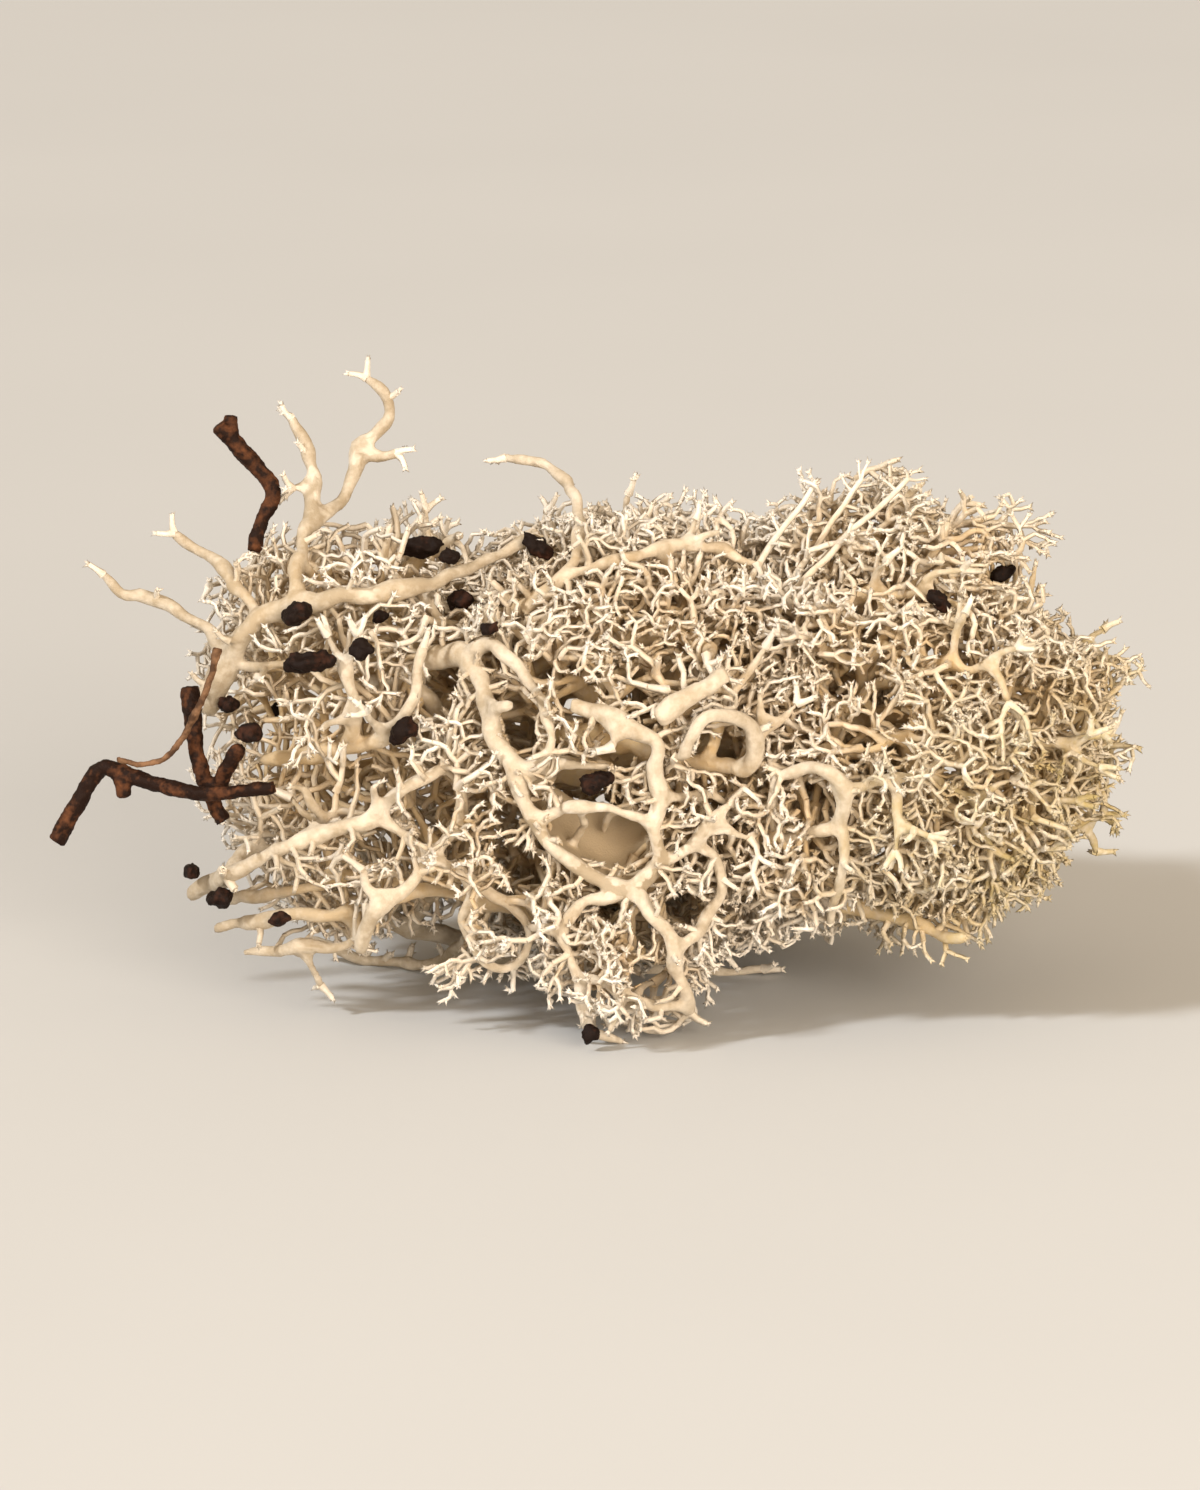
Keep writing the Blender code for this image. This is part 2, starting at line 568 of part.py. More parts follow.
def grow_thicket():
    """Lay every stem, settle them and let them fork; returns the thicket."""
    rng = random.Random(SEED)
    thicket = Thicket()
    shoots = []
    for name, (radius, stretches) in TWIGS.items():
        lay_stems(thicket, name, radius, stretches)
    for name, (radius, stems) in PODETIA.items():
        shoots += lay_stems(thicket, name, radius, stems)
    settle(thicket, set(TWIGS))
    for _ in range(FORK_ROUNDS):
        rng.shuffle(shoots)
        shoots = [new for shoot in shoots for new in fork(thicket, rng, shoot)]
    lean_together(thicket)
    return thicket


# --------------------------------------------------------------------------
# Solids
# --------------------------------------------------------------------------

def finish(colour, roughness, name):
    """A plain material of one colour."""
    material = bpy.data.materials.new(name)
    material.use_nodes = True
    shader = material.node_tree.nodes["Principled BSDF"]
    shader.inputs["Base Color"].default_value = (*colour, 1.0)
    shader.inputs["Roughness"].default_value = roughness
    shader.inputs["Metallic"].default_value = 0.0
    return material


def place_object(name, mesh, material, collection):
    """Link a mesh as one named object with its material."""
    mesh.materials.clear()
    mesh.materials.append(material)
    piece = bpy.data.objects.new(name, mesh)
    collection.objects.link(piece)
    return piece


def branch_mesh(thicket, name):
    """One closed surface round a piece's branches, cut flat at the table."""
    tubes = bpy.data.curves.new(name, "CURVE")
    tubes.dimensions = "3D"
    tubes.bevel_depth = MM
    tubes.bevel_resolution = 2
    tubes.use_fill_caps = True
    length = 0.0
    for owner, run in thicket.runs:
        if owner != name:
            continue
        spline = tubes.splines.new("POLY")
        spline.points.add(len(run) - 1)
        thickest = thicket.radii[run[1]]
        for point, number in zip(spline.points, run):
            point.co = (*((thicket.points[number] + SHIFT) * MM), 1.0)
            point.radius = min(thicket.radii[number], thickest)
        length += sum((thicket.points[a] - thicket.points[b]).length
                      for a, b in zip(run, run[1:]))
    wire = bpy.data.objects.new(name + "_tubes", tubes)
    bpy.context.scene.collection.objects.link(wire)
    graph = bpy.context.evaluated_depsgraph_get()
    loose = bpy.data.meshes.new_from_object(wire.evaluated_get(graph))
    bpy.data.objects.remove(wire)
    work = bmesh.new()
    work.from_mesh(loose)
    bmesh.ops.remove_doubles(work, verts=work.verts, dist=WELD)
    work.to_mesh(loose)
    work.free()
    solid = bpy.data.objects.new(name + "_solid", loose)
    bpy.context.scene.collection.objects.link(solid)
    remesh = solid.modifiers.new("One surface", "REMESH")
    remesh.mode = "VOXEL"
    thinnest = min(thicket.radii[number] for owner, run in thicket.runs
                   for number in run if owner == name)
    remesh.voxel_size = VOXEL_SHARE * thinnest * MM
    graph = bpy.context.evaluated_depsgraph_get()
    faces = len(solid.evaluated_get(graph).data.polygons) * 2
    thin = solid.modifiers.new("Fewer faces", "DECIMATE")
    thin.ratio = min(1.0, FACES_PER_MM * length / faces)
    thin.use_collapse_triangulate = True
    graph = bpy.context.evaluated_depsgraph_get()
    skin = bpy.data.meshes.new_from_object(solid.evaluated_get(graph))
    bpy.data.objects.remove(solid)
    work = bmesh.new()
    work.from_mesh(skin)
    if min(vertex.co.z for vertex in work.verts) < 0.0:
        bmesh.ops.bisect_plane(work, geom=[*work.verts, *work.edges, *work.faces],
                               plane_co=(0, 0, 0), plane_no=(0, 0, -1),
                               clear_outer=True)
        bmesh.ops.holes_fill(work, edges=[e for e in work.edges if e.is_boundary])
    bmesh.ops.triangulate(work, faces=work.faces)
    bmesh.ops.recalc_face_normals(work, faces=work.faces)
    work.to_mesh(skin)
    work.free()
    return skin


def crumb_mesh(rng, half):
    """A rough closed lump with the given half sizes."""
    work = bmesh.new()
    bmesh.ops.create_icosphere(work, subdivisions=2, radius=1.0)
    for vertex in work.verts:
        out = 1.0 + rng.uniform(-CRUMB_ROUGHNESS, CRUMB_ROUGHNESS)
        vertex.co = Vector(side * size for side, size in zip(vertex.co * out, half))
    return work


def broken_stem_mesh(length, radii):
    """A short length of stem along X, with softened ends."""
    work = bmesh.new()
    bmesh.ops.create_cone(work, cap_ends=True, segments=BROKEN_STEM_SIDES,
                          radius1=radii[0], radius2=radii[1], depth=length,
                          matrix=Matrix.Rotation(math.pi / 2, 4, "Y"))
    rims = [edge for edge in work.edges
            if abs(abs(edge.verts[0].co.x + edge.verts[1].co.x) - length) < 0.1]
    bmesh.ops.bevel(work, geom=rims, offset=BROKEN_STEM_EDGE, segments=2,
                    profile=0.5, affect="EDGES")
    bmesh.ops.triangulate(work, faces=work.faces)
    return work


def solid_tree(mesh):
    """A search tree over a mesh's faces."""
    work = bmesh.new()
    work.from_mesh(mesh)
    tree = BVHTree.FromBMesh(work)
    work.free()
    return tree


def drop_in(work, name, start, turn, solids):
    """Move a lump along the way in until something catches it."""
    facing = WAY_IN.to_track_quat("Y", "Z").to_matrix().to_4x4()
    facing = facing @ Matrix.Rotation(math.radians(-turn), 4, "Y")
    bmesh.ops.transform(work, verts=work.verts, matrix=facing)
    at = Vector((start[0], FRONT_PLANE, start[1])) + SHIFT
    fine = work.copy()
    bmesh.ops.subdivide_edges(fine, edges=fine.edges, cuts=2, use_grid_fill=True)
    corners = [vertex.co.copy() for vertex in fine.verts]
    fine.free()
    best = (math.inf, at)
    for step in range(SEAT_STEPS):
        place = at + WAY_IN * (SEAT_STEP * step)
        gap = math.inf
        for corner in corners:
            for solid in solids:
                found = solid.find_nearest((place + corner) * MM, SEAT_REACH * MM)
                if found[0] is not None:
                    gap = min(gap, found[3] / MM)
        if gap < best[0]:
            best = (gap, place)
        if gap < SEAT_GAP:
            break
    bmesh.ops.translate(work, verts=work.verts, vec=best[1])
    bmesh.ops.scale(work, verts=work.verts, vec=(MM, MM, MM))
    mesh = bpy.data.meshes.new(name)
    work.to_mesh(mesh)
    solids.append(BVHTree.FromBMesh(work))
    work.free()
    return mesh


def main():
    """Build the whole clump."""
    for thing in list(bpy.data.objects):
        bpy.data.objects.remove(thing, do_unlink=True)
    clump = bpy.data.collections.new("reindeer_moss_clump")
    bpy.context.scene.collection.children.link(clump)
    lichen = finish((0.66, 0.57, 0.36), 0.9, "lichen")
    bark = finish((0.035, 0.014, 0.008), 0.85, "bark")
    thicket = grow_thicket()
    solids = []
    for names, material in ((PODETIA, lichen), (TWIGS, bark)):
        for name in names:
            mesh = branch_mesh(thicket, name)
            place_object(name, mesh, material, clump)
            solids.append(solid_tree(mesh))
    start, length, radii, turn = BROKEN_STEM
    mesh = drop_in(broken_stem_mesh(length, radii), "broken_stem", start, turn, solids)
    place_object("broken_stem", mesh, lichen, clump)
    rng = random.Random(SEED)
    for name, (start, half, turn) in CRUMBS.items():
        mesh = drop_in(crumb_mesh(rng, half), name, start, turn, solids)
        place_object(name, mesh, bark, clump)


main()
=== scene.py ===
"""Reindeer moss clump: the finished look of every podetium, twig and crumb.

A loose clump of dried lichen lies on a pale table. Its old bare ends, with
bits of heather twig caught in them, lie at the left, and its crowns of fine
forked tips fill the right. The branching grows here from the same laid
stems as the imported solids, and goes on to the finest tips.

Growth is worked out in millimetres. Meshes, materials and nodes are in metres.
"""

import json
import logging
import math
import random
from collections.abc import Iterator, Sequence
from dataclasses import asdict, dataclass, field
from enum import Enum

import bmesh
import bpy
import numpy as np
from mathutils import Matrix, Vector, noise
from mathutils.kdtree import KDTree

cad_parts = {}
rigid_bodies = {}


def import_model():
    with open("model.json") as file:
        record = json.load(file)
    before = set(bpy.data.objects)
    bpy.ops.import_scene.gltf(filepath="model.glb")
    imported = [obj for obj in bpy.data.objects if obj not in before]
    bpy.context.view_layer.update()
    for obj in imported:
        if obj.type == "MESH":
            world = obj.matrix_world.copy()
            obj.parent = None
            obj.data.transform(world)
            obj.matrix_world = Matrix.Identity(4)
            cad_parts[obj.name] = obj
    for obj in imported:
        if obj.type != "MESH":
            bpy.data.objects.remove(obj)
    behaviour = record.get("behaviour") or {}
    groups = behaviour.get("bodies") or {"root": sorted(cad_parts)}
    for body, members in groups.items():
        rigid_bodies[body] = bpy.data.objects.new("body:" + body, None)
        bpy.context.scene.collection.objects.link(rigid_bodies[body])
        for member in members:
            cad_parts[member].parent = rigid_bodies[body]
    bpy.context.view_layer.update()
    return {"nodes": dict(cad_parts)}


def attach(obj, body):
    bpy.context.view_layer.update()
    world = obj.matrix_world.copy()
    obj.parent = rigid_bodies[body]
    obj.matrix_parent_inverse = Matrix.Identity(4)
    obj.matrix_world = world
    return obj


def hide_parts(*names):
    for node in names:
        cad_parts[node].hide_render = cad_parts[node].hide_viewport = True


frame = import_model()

LOG = logging.getLogger("reindeer_moss")
MM = 0.001
ROOT = "root"
MIDDLE = Vector((-0.35, 1.33, 0.0))     # the clump's middle, which is the origin
GROWTH_SEED = 13
FINE_SEED = 23
THICKNESS = "thickness"
AGE = "age"
# Depth brown and olive: colour shares that are partly real and partly painted shade.
DEEP = "deep"
OLIVE_AND_SHADE = "olive"
GRADE = "grade"
COUNT = "count"
HEADING = "heading"

Span = tuple[float, float]
Point = tuple[float, float, float]
Stem = tuple[Point, ...]
Colour = tuple[float, float, float]
Mesh = bpy.types.Mesh
Item = bpy.types.Object
Material = bpy.types.Material
Node = bpy.types.Node
Socket = bpy.types.NodeSocket
Value = Socket | float | Colour


# ---- Sizes of the growth ----

@dataclass(frozen=True)
class Lobe:
    """A round lobe of the clump's outline, in millimetres."""

    centre: Point
    half: Point

    def depth(self, place: Vector) -> float:
        """How deep a place lies inside the lobe.

        Args:
            place: the place.

        Returns:
            The depth, which is negative outside.
        """
        a, b, c = self.centre
        u, v, w = self.half
        share = math.sqrt(((place.x - a) / u) ** 2 + ((place.y - b) / v) ** 2
                          + ((place.z - c) / w) ** 2)
        return (1.0 - share) * min(u, v, w)


def depth_inside(lobes: tuple[Lobe, ...], place: Vector) -> float:
    """Depth of a place in the deepest of some lobes; outside is negative."""
    return max(lobe.depth(place) for lobe in lobes)


@dataclass(frozen=True)
class StemRules:
    """How stems are laid, settled and forked, in millimetres and radians."""

    step: float = 1.6
    weld_reach: float = 0.9
    taper: float = 0.62
    bud_every: int = 3
    bud_first: int = 2
    bud_angle: float = math.radians(62.0)
    fork_angle: Span = (math.radians(28.0), math.radians(52.0))
    fork_rounds: int = 2
    fork_tries: int = 9
    children: tuple[int, ...] = (2, 2, 3)
    shoot_length: Span = (2.2, 4.2)
    depth_share: float = 0.35
    shoot_taper: float = 0.8
    thinnest: float = 0.36
    own_gap: float = 0.45
    other_gap: float = 0.6
    spur_gap: float = 0.32
    spur_reach: float = 6.0
    table_gap: float = 0.5
    cell: float = 2.0
    thickest: float = 1.0
    stem_gap: float = 0.45
    settle_rounds: int = 40
    settle_reach: float = 3.0
    bend: Span = (math.radians(8.0), math.radians(26.0))
    twirl: float = 0.7
    bud_spread: float = 0.35
    reach_share: Span = (0.8, 1.1)
    skip_share: float = 0.45
    outside: float = -0.6
    widest_gap: float = 1.6
    push_share: float = 0.5


LOBES = (
    Lobe((17, -2, 14.5), (13, 13, 11.5)),
    Lobe((2, 0, 14), (14, 15, 13)),
    Lobe((-13, 1, 14.5), (10.5, 12, 12)),
    Lobe((3, 10, 12), (16, 9, 11)),
    Lobe((1.5, -13, 4.5), (5, 4, 4.5)),
    Lobe((-12, -7, 7), (9, 7, 5)),
)
LICHEN_SLOT = "lichen"
BARK_SLOT = "bark"
ROOTLET = "rootlet"
BROKEN_STEM = "broken_stem"
SAME_PLACE = 1e-6       # corners nearer than this are one, in metres
STEM_YOUNGER = 0.5      # share of its age that a laid stem loses along its length
SHOOT_YOUNGER = 0.85    # age of each half of a shoot over the age before it


# ---- Where the stems run ----

class Habit(Enum):
    """How fine shoots bud on laid stems: chance, number and first round."""

    BARE = (0.4, 1, 4)
    TRAILING = (0.8, 1, 3)
    SPARSE = (0.7, 1, 1)
    WEBBED = (1.0, 4, 3)
    BUSHY = (1.0, 1, 0)


@dataclass(frozen=True)
class Plan:
    """A piece's laid stems: name, thickest radius, habit and points."""

    name: str
    radius: float
    habit: Habit
    stems: tuple[Stem, ...]


PODETIUM_PLANS = (
    # Open network low at the front left, over an arch.
    Plan("low_web_podetium", 0.62, Habit.WEBBED, (
        ((-22.5, -6, 6.5), (-19, -9.5, 9), (-15.5, -10.5, 11), (-12, -10.5, 12),
         (-10.5, -10.5, 13.5), (-8.5, -10.5, 15)),
        ((-11.5, -10.5, 12.5), (-10.4, -10.7, 11), (-9, -11.5, 10), (-6.6, -12, 8.6),
         (-4.6, -12, 7.6)),
        ((-13, -12.5, 4.8), (-12.4, -13.2, 6.7), (-10.6, -12.8, 8.6), (-9, -11.5, 10)),
        ((-9, -11.5, 10), (-7.3, -10.7, 11.6), (-7.4, -10.4, 13.6), (-8.5, -10.5, 15)),
        ((-6.6, -12, 8.6), (-7, -12.4, 6.4), (-6.3, -12.7, 4.5), (-4.7, -12.7, 4.2),
         (-3.4, -12.5, 5.6), (-4.6, -12, 7.6)),
    )),
    # Open network in the middle of the front, with the broad oval opening.
    Plan("front_web_podetium", 0.72, Habit.WEBBED, (
        ((-13, -3.5, 17.5), (-9.5, -6, 19.6), (-7.2, -8, 20.6), (-6.2, -10.2, 19),
         (-5.4, -11.8, 17), (-4.2, -13, 15), (-3.4, -13.4, 12.5), (-1.8, -13.8, 10.5),
         (1.8, -14.2, 8.6), (3.4, -15, 7.4), (4.5, -15.3, 5.6), (4.9, -14.8, 3.6),
         (5.4, -14, 1.8)),
        ((-7.2, -8, 20.6), (-5.7, -9.2, 21.4), (-4.1, -10.9, 20.4), (-2.6, -12.6, 18.4),
         (-2.4, -13.3, 16.4), (-4.2, -13, 15)),
        ((1.8, -14.2, 8.6), (3.7, -13.9, 10), (3.3, -14.2, 12), (1, -14.5, 13.4), (-1.8, -14, 13.2),
         (-3.4, -13.4, 12.5)),
        ((3.7, -13.9, 10), (5.5, -13.9, 11.4), (7.6, -13.3, 13.4)),
        ((5.5, -13.9, 11.4), (7.2, -13, 9.2), (6.4, -13.6, 7.2), (4.5, -15.3, 5.6)),
        ((-1.2, -13.2, 18.6), (1.4, -13.8, 18.2), (3.4, -14.2, 17.3), (3.7, -14.4, 15.6),
         (3.3, -14.2, 12)),
        ((1.8, -14.2, 8.6), (-0.4, -14.2, 8.1), (-1.6, -14.6, 6.4), (-0.8, -15.2, 4.2),
         (-0.6, -15, 2.2), (0.2, -14.6, 0.6), (1.6, -14.2, 0.1)),
        ((-0.8, -15.2, 4.2), (1.5, -15.8, 3.6), (3.6, -15.2, 2.4), (5.4, -14, 1.8)),
    )),
    # Curled branch above the oval opening.
    Plan("hooked_podetium", 0.6, Habit.SPARSE, (
        ((-3, -7, 16), (2, -9, 15.6), (6, -11, 15), (8.4, -13, 15.6), (9, -13.6, 17.2),
         (8, -14.1, 18.5), (6.4, -14.6, 18.4), (5.2, -15, 17.4), (5, -15.1, 16.5)),
        ((6, -11, 15), (7.5, -10.5, 18.5), (9.5, -10, 21.5)),
    )),
    # Ring of branches at the front right.
    Plan("ring_podetium", 0.6, Habit.WEBBED, (
        ((3, -7, 10.5), (8, -10, 10.8), (11.6, -12.8, 11.3), (13.4, -13.8, 12.4),
         (13.7, -14.3, 14.2), (12.2, -14.2, 15.7), (10.4, -13.3, 15), (9.6, -12.9, 13.2),
         (10, -12.6, 11.6)),
        ((13.4, -13.8, 12.4), (13.8, -13.9, 10.4), (13.4, -13, 8.4), (13, -11.8, 6.4)),
        ((13.7, -14.3, 14.2), (16, -13.6, 15), (18.5, -12, 14.5)),
    )),
    # Long thin stems side by side, low at the left.
    Plan("low_long_podetium", 0.45, Habit.TRAILING, (
        ((-21, -7, 4.9), (-17.2, -9.6, 6), (-13.3, -10.2, 6.4), (-10, -8.8, 7.2), (-6, -7.5, 6.4),
         (-1, -8, 5)),
        ((-20.6, -5.2, 5.9), (-17, -8, 7.1), (-13.2, -8.6, 8.3), (-10, -8.8, 7.2)),
        ((-19.4, -8, 3.5), (-16.2, -9.4, 4.2), (-13.4, -9.8, 4.9), (-13.3, -10.2, 6.4)),
        ((-16, 3.6, 1.2), (-12, 2.8, 0.3), (-8.5, 0.4, 1.2), (-7.2, -3.5, 3.6), (-6, -7.5, 6.4)),
    )),
    # Bare branching ends that stand up at the left.
    Plan("bare_topped_podetium", 0.55, Habit.BARE, (
        ((-21.5, -3.5, 16.5), (-20.4, -4.6, 19.6), (-18.6, -5.2, 22), (-16.5, -5.6, 23),
         (-13.5, -6, 23.4), (-9.8, -5.4, 23.8), (-6.5, -3.4, 24.6), (-3.5, -1.8, 25.6)),
        ((-16.5, -5.6, 23), (-16.5, -3, 24.7), (-15.5, 0, 26.2), (-14, 2.8, 27.2), (-13.5, 4, 28.8),
         (-13.3, 4.4, 29.8), (-12.3, 4.5, 30.4), (-11.7, 4.8, 31.4), (-11.8, 5, 32.4),
         (-12.7, 5.2, 33.4)),
        ((-13.3, 4.4, 29.8), (-12.2, 4, 29.5), (-10.9, 4, 29.4)),
        ((-15.5, 0, 26.2), (-15.7, 2, 28), (-16, 3, 29.8), (-16.9, 3.5, 31.8)),
        ((-18.6, -5.2, 22), (-19.8, -3, 23.4), (-21.2, -1.6, 24.6), (-23.3, -1, 26)),
        ((-20.4, -4.6, 19.6), (-21.8, -3.6, 21.2), (-24, -2.4, 22.2), (-26, -1.6, 22.6),
         (-27.6, -1.2, 23.6)),
    )),
    # Straight rod and its forks in front of the left.
    Plan("straight_podetium", 0.5, Habit.SPARSE, (
        ((-18.5, -5.5, 14), (-14, -7.6, 15), (-11.4, -9.2, 16.4), (-10, -9.8, 18.4),
         (-9.4, -8.6, 21.2)),
        ((-14, -7.6, 15), (-13.4, -9, 17.4), (-13.6, -9, 20)),
    )),
    # Arching thin end over the top.
    Plan("arched_podetium", 0.55, Habit.SPARSE, (
        ((-10, -1, 19.5), (-6, -3.5, 21.4), (-3.4, -6.5, 23.2), (-1.6, -6.8, 24.6), (1.4, -6, 25.6),
         (5, -4, 26)),
        ((-1.6, -6.8, 24.6), (-0.8, -4.4, 26.2), (-0.8, -1.6, 27.4), (-1.6, 0.8, 28.6),
         (-3.2, 2, 29.5), (-5.2, 2.6, 29.6)),
    )),
    Plan("right_crown_podetium", 0.8, Habit.BUSHY, (
        ((-3, -2.5, 12.5), (4, -3.5, 14), (11, -4, 15.5), (18, -5, 16.5), (23, -8, 15.5)),
        ((11, -4, 15.5), (16, -7.5, 18.5), (19.5, -9, 20.5)),
        ((18, -5, 16.5), (23.5, -2.5, 18.5)),
    )),
    Plan("low_right_podetium", 0.65, Habit.BUSHY, (
        ((0.5, -5, 7), (7, -6.4, 7.4), (13, -7.6, 6.6), (17.6, -9.2, 5.8), (20.4, -11.2, 5.4)),
        ((13, -7.6, 6.6), (19, -6, 9.5), (24, -4.5, 11)),
    )),
    Plan("back_right_podetium", 0.7, Habit.BUSHY, (
        ((-1, 5, 10.5), (7, 6.5, 12), (14, 6.5, 13.5), (20.5, 5, 13)),
        ((7, 6.5, 12), (12.5, 5, 17.5), (16.5, 4.5, 21)),
        ((7, 6.5, 12), (9, 8, 6), (9.8, 8.4, 2), (10.4, 8.2, 0)),
    )),
    Plan("top_right_podetium", 0.65, Habit.BUSHY, (
        ((0, 0.5, 17), (6, -0.6, 19.6), (11, 0, 22.4), (13.4, 1.6, 26), (15, 2.2, 28.6)),
        ((11, 0, 22.4), (15, 0.6, 24.6), (18.2, 1.8, 28)),
        ((6, -0.6, 19.6), (11.5, -4, 21.5), (15.5, -5, 23.5)),
    )),
    Plan("middle_podetium", 0.7, Habit.BUSHY, (
        ((-14, 0.5, 13.5), (-7, 0, 16.5), (-1, -3, 19.8), (4, -6.5, 21.5), (6.5, -9.5, 21)),
        ((-7, 0, 16.5), (-5.5, 3, 21), (-3.5, 4, 24)),
    )),
    Plan("back_left_podetium", 0.6, Habit.BUSHY, (
        ((-20.5, 4, 9.5), (-15, 7.5, 10), (-9.5, 11, 10.5), (-4, 14.5, 11)),
        ((-15, 7.5, 10), (-13.5, 9.5, 5), (-12.6, 10.2, 1.5), (-12, 10, 0)),
        ((-15, 7.5, 10), (-13.5, 7.5, 15), (-10, 7.5, 19.5)),
    )),
    Plan("back_podetium", 0.7, Habit.BUSHY, (
        ((-8, 5.5, 13), (-2, 8, 15.5), (4, 10.5, 17), (9, 11.5, 17.5)),
        ((-2, 8, 15.5), (2.5, 6, 20), (5, 5, 23.5)),
    )),
    Plan("top_left_podetium", 0.55, Habit.BUSHY, (
        ((-20.5, 0.5, 15.5), (-16.5, 2.5, 18.5), (-12, 3.6, 21.5), (-8, 2, 25)),
        ((-16.5, 2.5, 18.5), (-18.5, 3.5, 21.5)),
    )),
    Plan("under_podetium", 0.65, Habit.BUSHY, (
        ((-17.5, 0, 6), (-12, 0.5, 3.5), (-6, 1.5, 1.2), (0, 2, 0.4), (5, 1.5, 0.2), (9.5, 1, 0.3)),
        ((-6, 1.5, 1.2), (-2, 6.5, 2.5), (4, 10.5, 4)),
        ((0, 2, 0.4), (5, -2, 2.4), (10, -2.5, 4.6)),
    )),
)

TWIG_PLANS = (
    Plan("crossing_twig", 0.5, Habit.BARE, (
        ((-29.9, -6, 9.5), (-28.7, -6, 11.6), (-27.4, -6, 13.6), (-24.9, -7, 13.2),
         (-21.7, -8.5, 12.8), (-17.6, -10.4, 13.6)),
        ((-25.9, -6.5, 13.4), (-26, -6.8, 12.2)),
    )),
    Plan("upright_twig", 0.5, Habit.BARE, (
        ((-22.4, -5.6, 18.2), (-22.2, -6.4, 16.5), (-21.9, -7, 14.4), (-21.2, -7.2, 12.2),
         (-20.5, -7.4, 11)),
        ((-21.2, -7.2, 12.2), (-20.2, -7.8, 14.2), (-19.5, -7.9, 15.4)),
    )),
    Plan("forked_twig", 0.5, Habit.BARE, (
        ((-21, 2, 31.5), (-19.6, 2, 29.9), (-17.9, 1.4, 27.8), (-18.6, 0.6, 26.2),
         (-19, -0.4, 24.8)),
        ((-20.3, 2, 30.7), (-20.3, 2.4, 32)),
    )),
    Plan(ROOTLET, 0.27, Habit.BARE, (
        ((-20.8, -6.6, 20.6), (-21.2, -7.2, 19), (-21.8, -7.6, 17.6), (-22.6, -7.6, 16),
         (-23.6, -7.6, 14.7), (-25, -7.4, 14.2), (-26.4, -7, 14.4)),
    )),
)


# ---- Growth ----

def catmull(points: Sequence[Vector | Point], step: float) -> list[Vector]:
    """Points of a smooth curve through the given ones.

    Args:
        points: the places that the curve passes through.
        step: about how far apart the returned points are.

    Returns:
        The curve's points, from first to last.
    """
    knots = [Vector(point) for point in points]
    knots = [2 * knots[0] - knots[1], *knots, 2 * knots[-1] - knots[-2]]
    line = []
    for a, b, c, d in zip(knots, knots[1:], knots[2:], knots[3:]):
        count = max(1, round((c - b).length / step))
        for index in range(count):
            t = index / count
            line.append(0.5 * (2 * b + (c - a) * t
                               + (2 * a - 5 * b + 4 * c - d) * t ** 2
                               + (3 * b - a - 3 * c + d) * t ** 3))
    line.append(knots[-2])
    return line


def tilted(direction: Vector, angle: float, azimuth: float) -> Vector:
    """Turn a direction away from itself.

    Args:
        direction: the unit direction to turn.
        angle: how far it turns.
        azimuth: which way round it turns.

    Returns:
        The new unit direction.
    """
    side = direction.orthogonal().normalized()
    other = direction.cross(side)
    return (direction * math.cos(angle)
            + side * (math.sin(angle) * math.cos(azimuth))
            + other * (math.sin(angle) * math.sin(azimuth))).normalized()


def finder(places: list[Vector]) -> KDTree:
    """A tree that finds the nearest of some places, by number.

    Args:
        places: the places.

    Returns:
        The tree.
    """
    tree = KDTree(len(places))
    for number, place in enumerate(places):
        tree.insert(place, number)
    tree.balance()
    return tree


@dataclass
class BeadGrid:
    """A grid of balls that finds those near a place.

    Attributes:
        cell: size of its cells.
        cells: the balls of each cell: place, radius and whatever else they carry.
    """

    cell: float
    cells: dict[tuple[int, ...], list[tuple]] = field(default_factory=dict)

    def add(self, place: Vector, *values: float) -> None:
        """Enter a ball: its place, its radius and whatever else it carries."""
        key = tuple(int(value // self.cell) for value in place)
        self.cells.setdefault(key, []).append((*place, *values))

    def balls(self, place: Vector, far: float) -> Iterator[tuple]:
        """Yield each ball in the cells round a place.

        Args:
            place: the middle of the search.
            far: how far the cells reach at least.

        Returns:
            The balls, as they were entered.
        """
        low = [int((value - far) // self.cell) for value in place]
        high = [int((value + far) // self.cell) + 1 for value in place]
        for i in range(low[0], high[0]):
            for j in range(low[1], high[1]):
                for k in range(low[2], high[2]):
                    yield from self.cells.get((i, j, k), ())

    def near(self, place: Vector, reach: float, clear: float, room: float) -> list[tuple]:
        """Balls near a place, each with the square of the room it needs.

        Args:
            place: the middle of the search.
            reach: how far off a ball still counts.
            clear: how near a ball no longer counts.
            room: gap plus radius that is wanted round the new branch.

        Returns:
            Tuples of x, y, z and the squared distance to keep.
        """
        x, y, z = place
        found = []
        for qx, qy, qz, radius in self.balls(place, reach):
            far = math.sqrt((qx - x) ** 2 + (qy - y) ** 2 + (qz - z) ** 2)
            if clear + radius * 0.5 < far < reach + radius:
                found.append((qx, qy, qz, (room + radius) ** 2))
        return found


@dataclass(frozen=True)
class Shoot:
    """A bud or tip that may fork: its branch point and how far it leans."""

    number: int
    lean: float = 0.0


@dataclass
class Run:
    """One unbroken length of branch: its piece and its branch points."""

    owner: str
    numbers: list[int]
    is_laid: bool = False


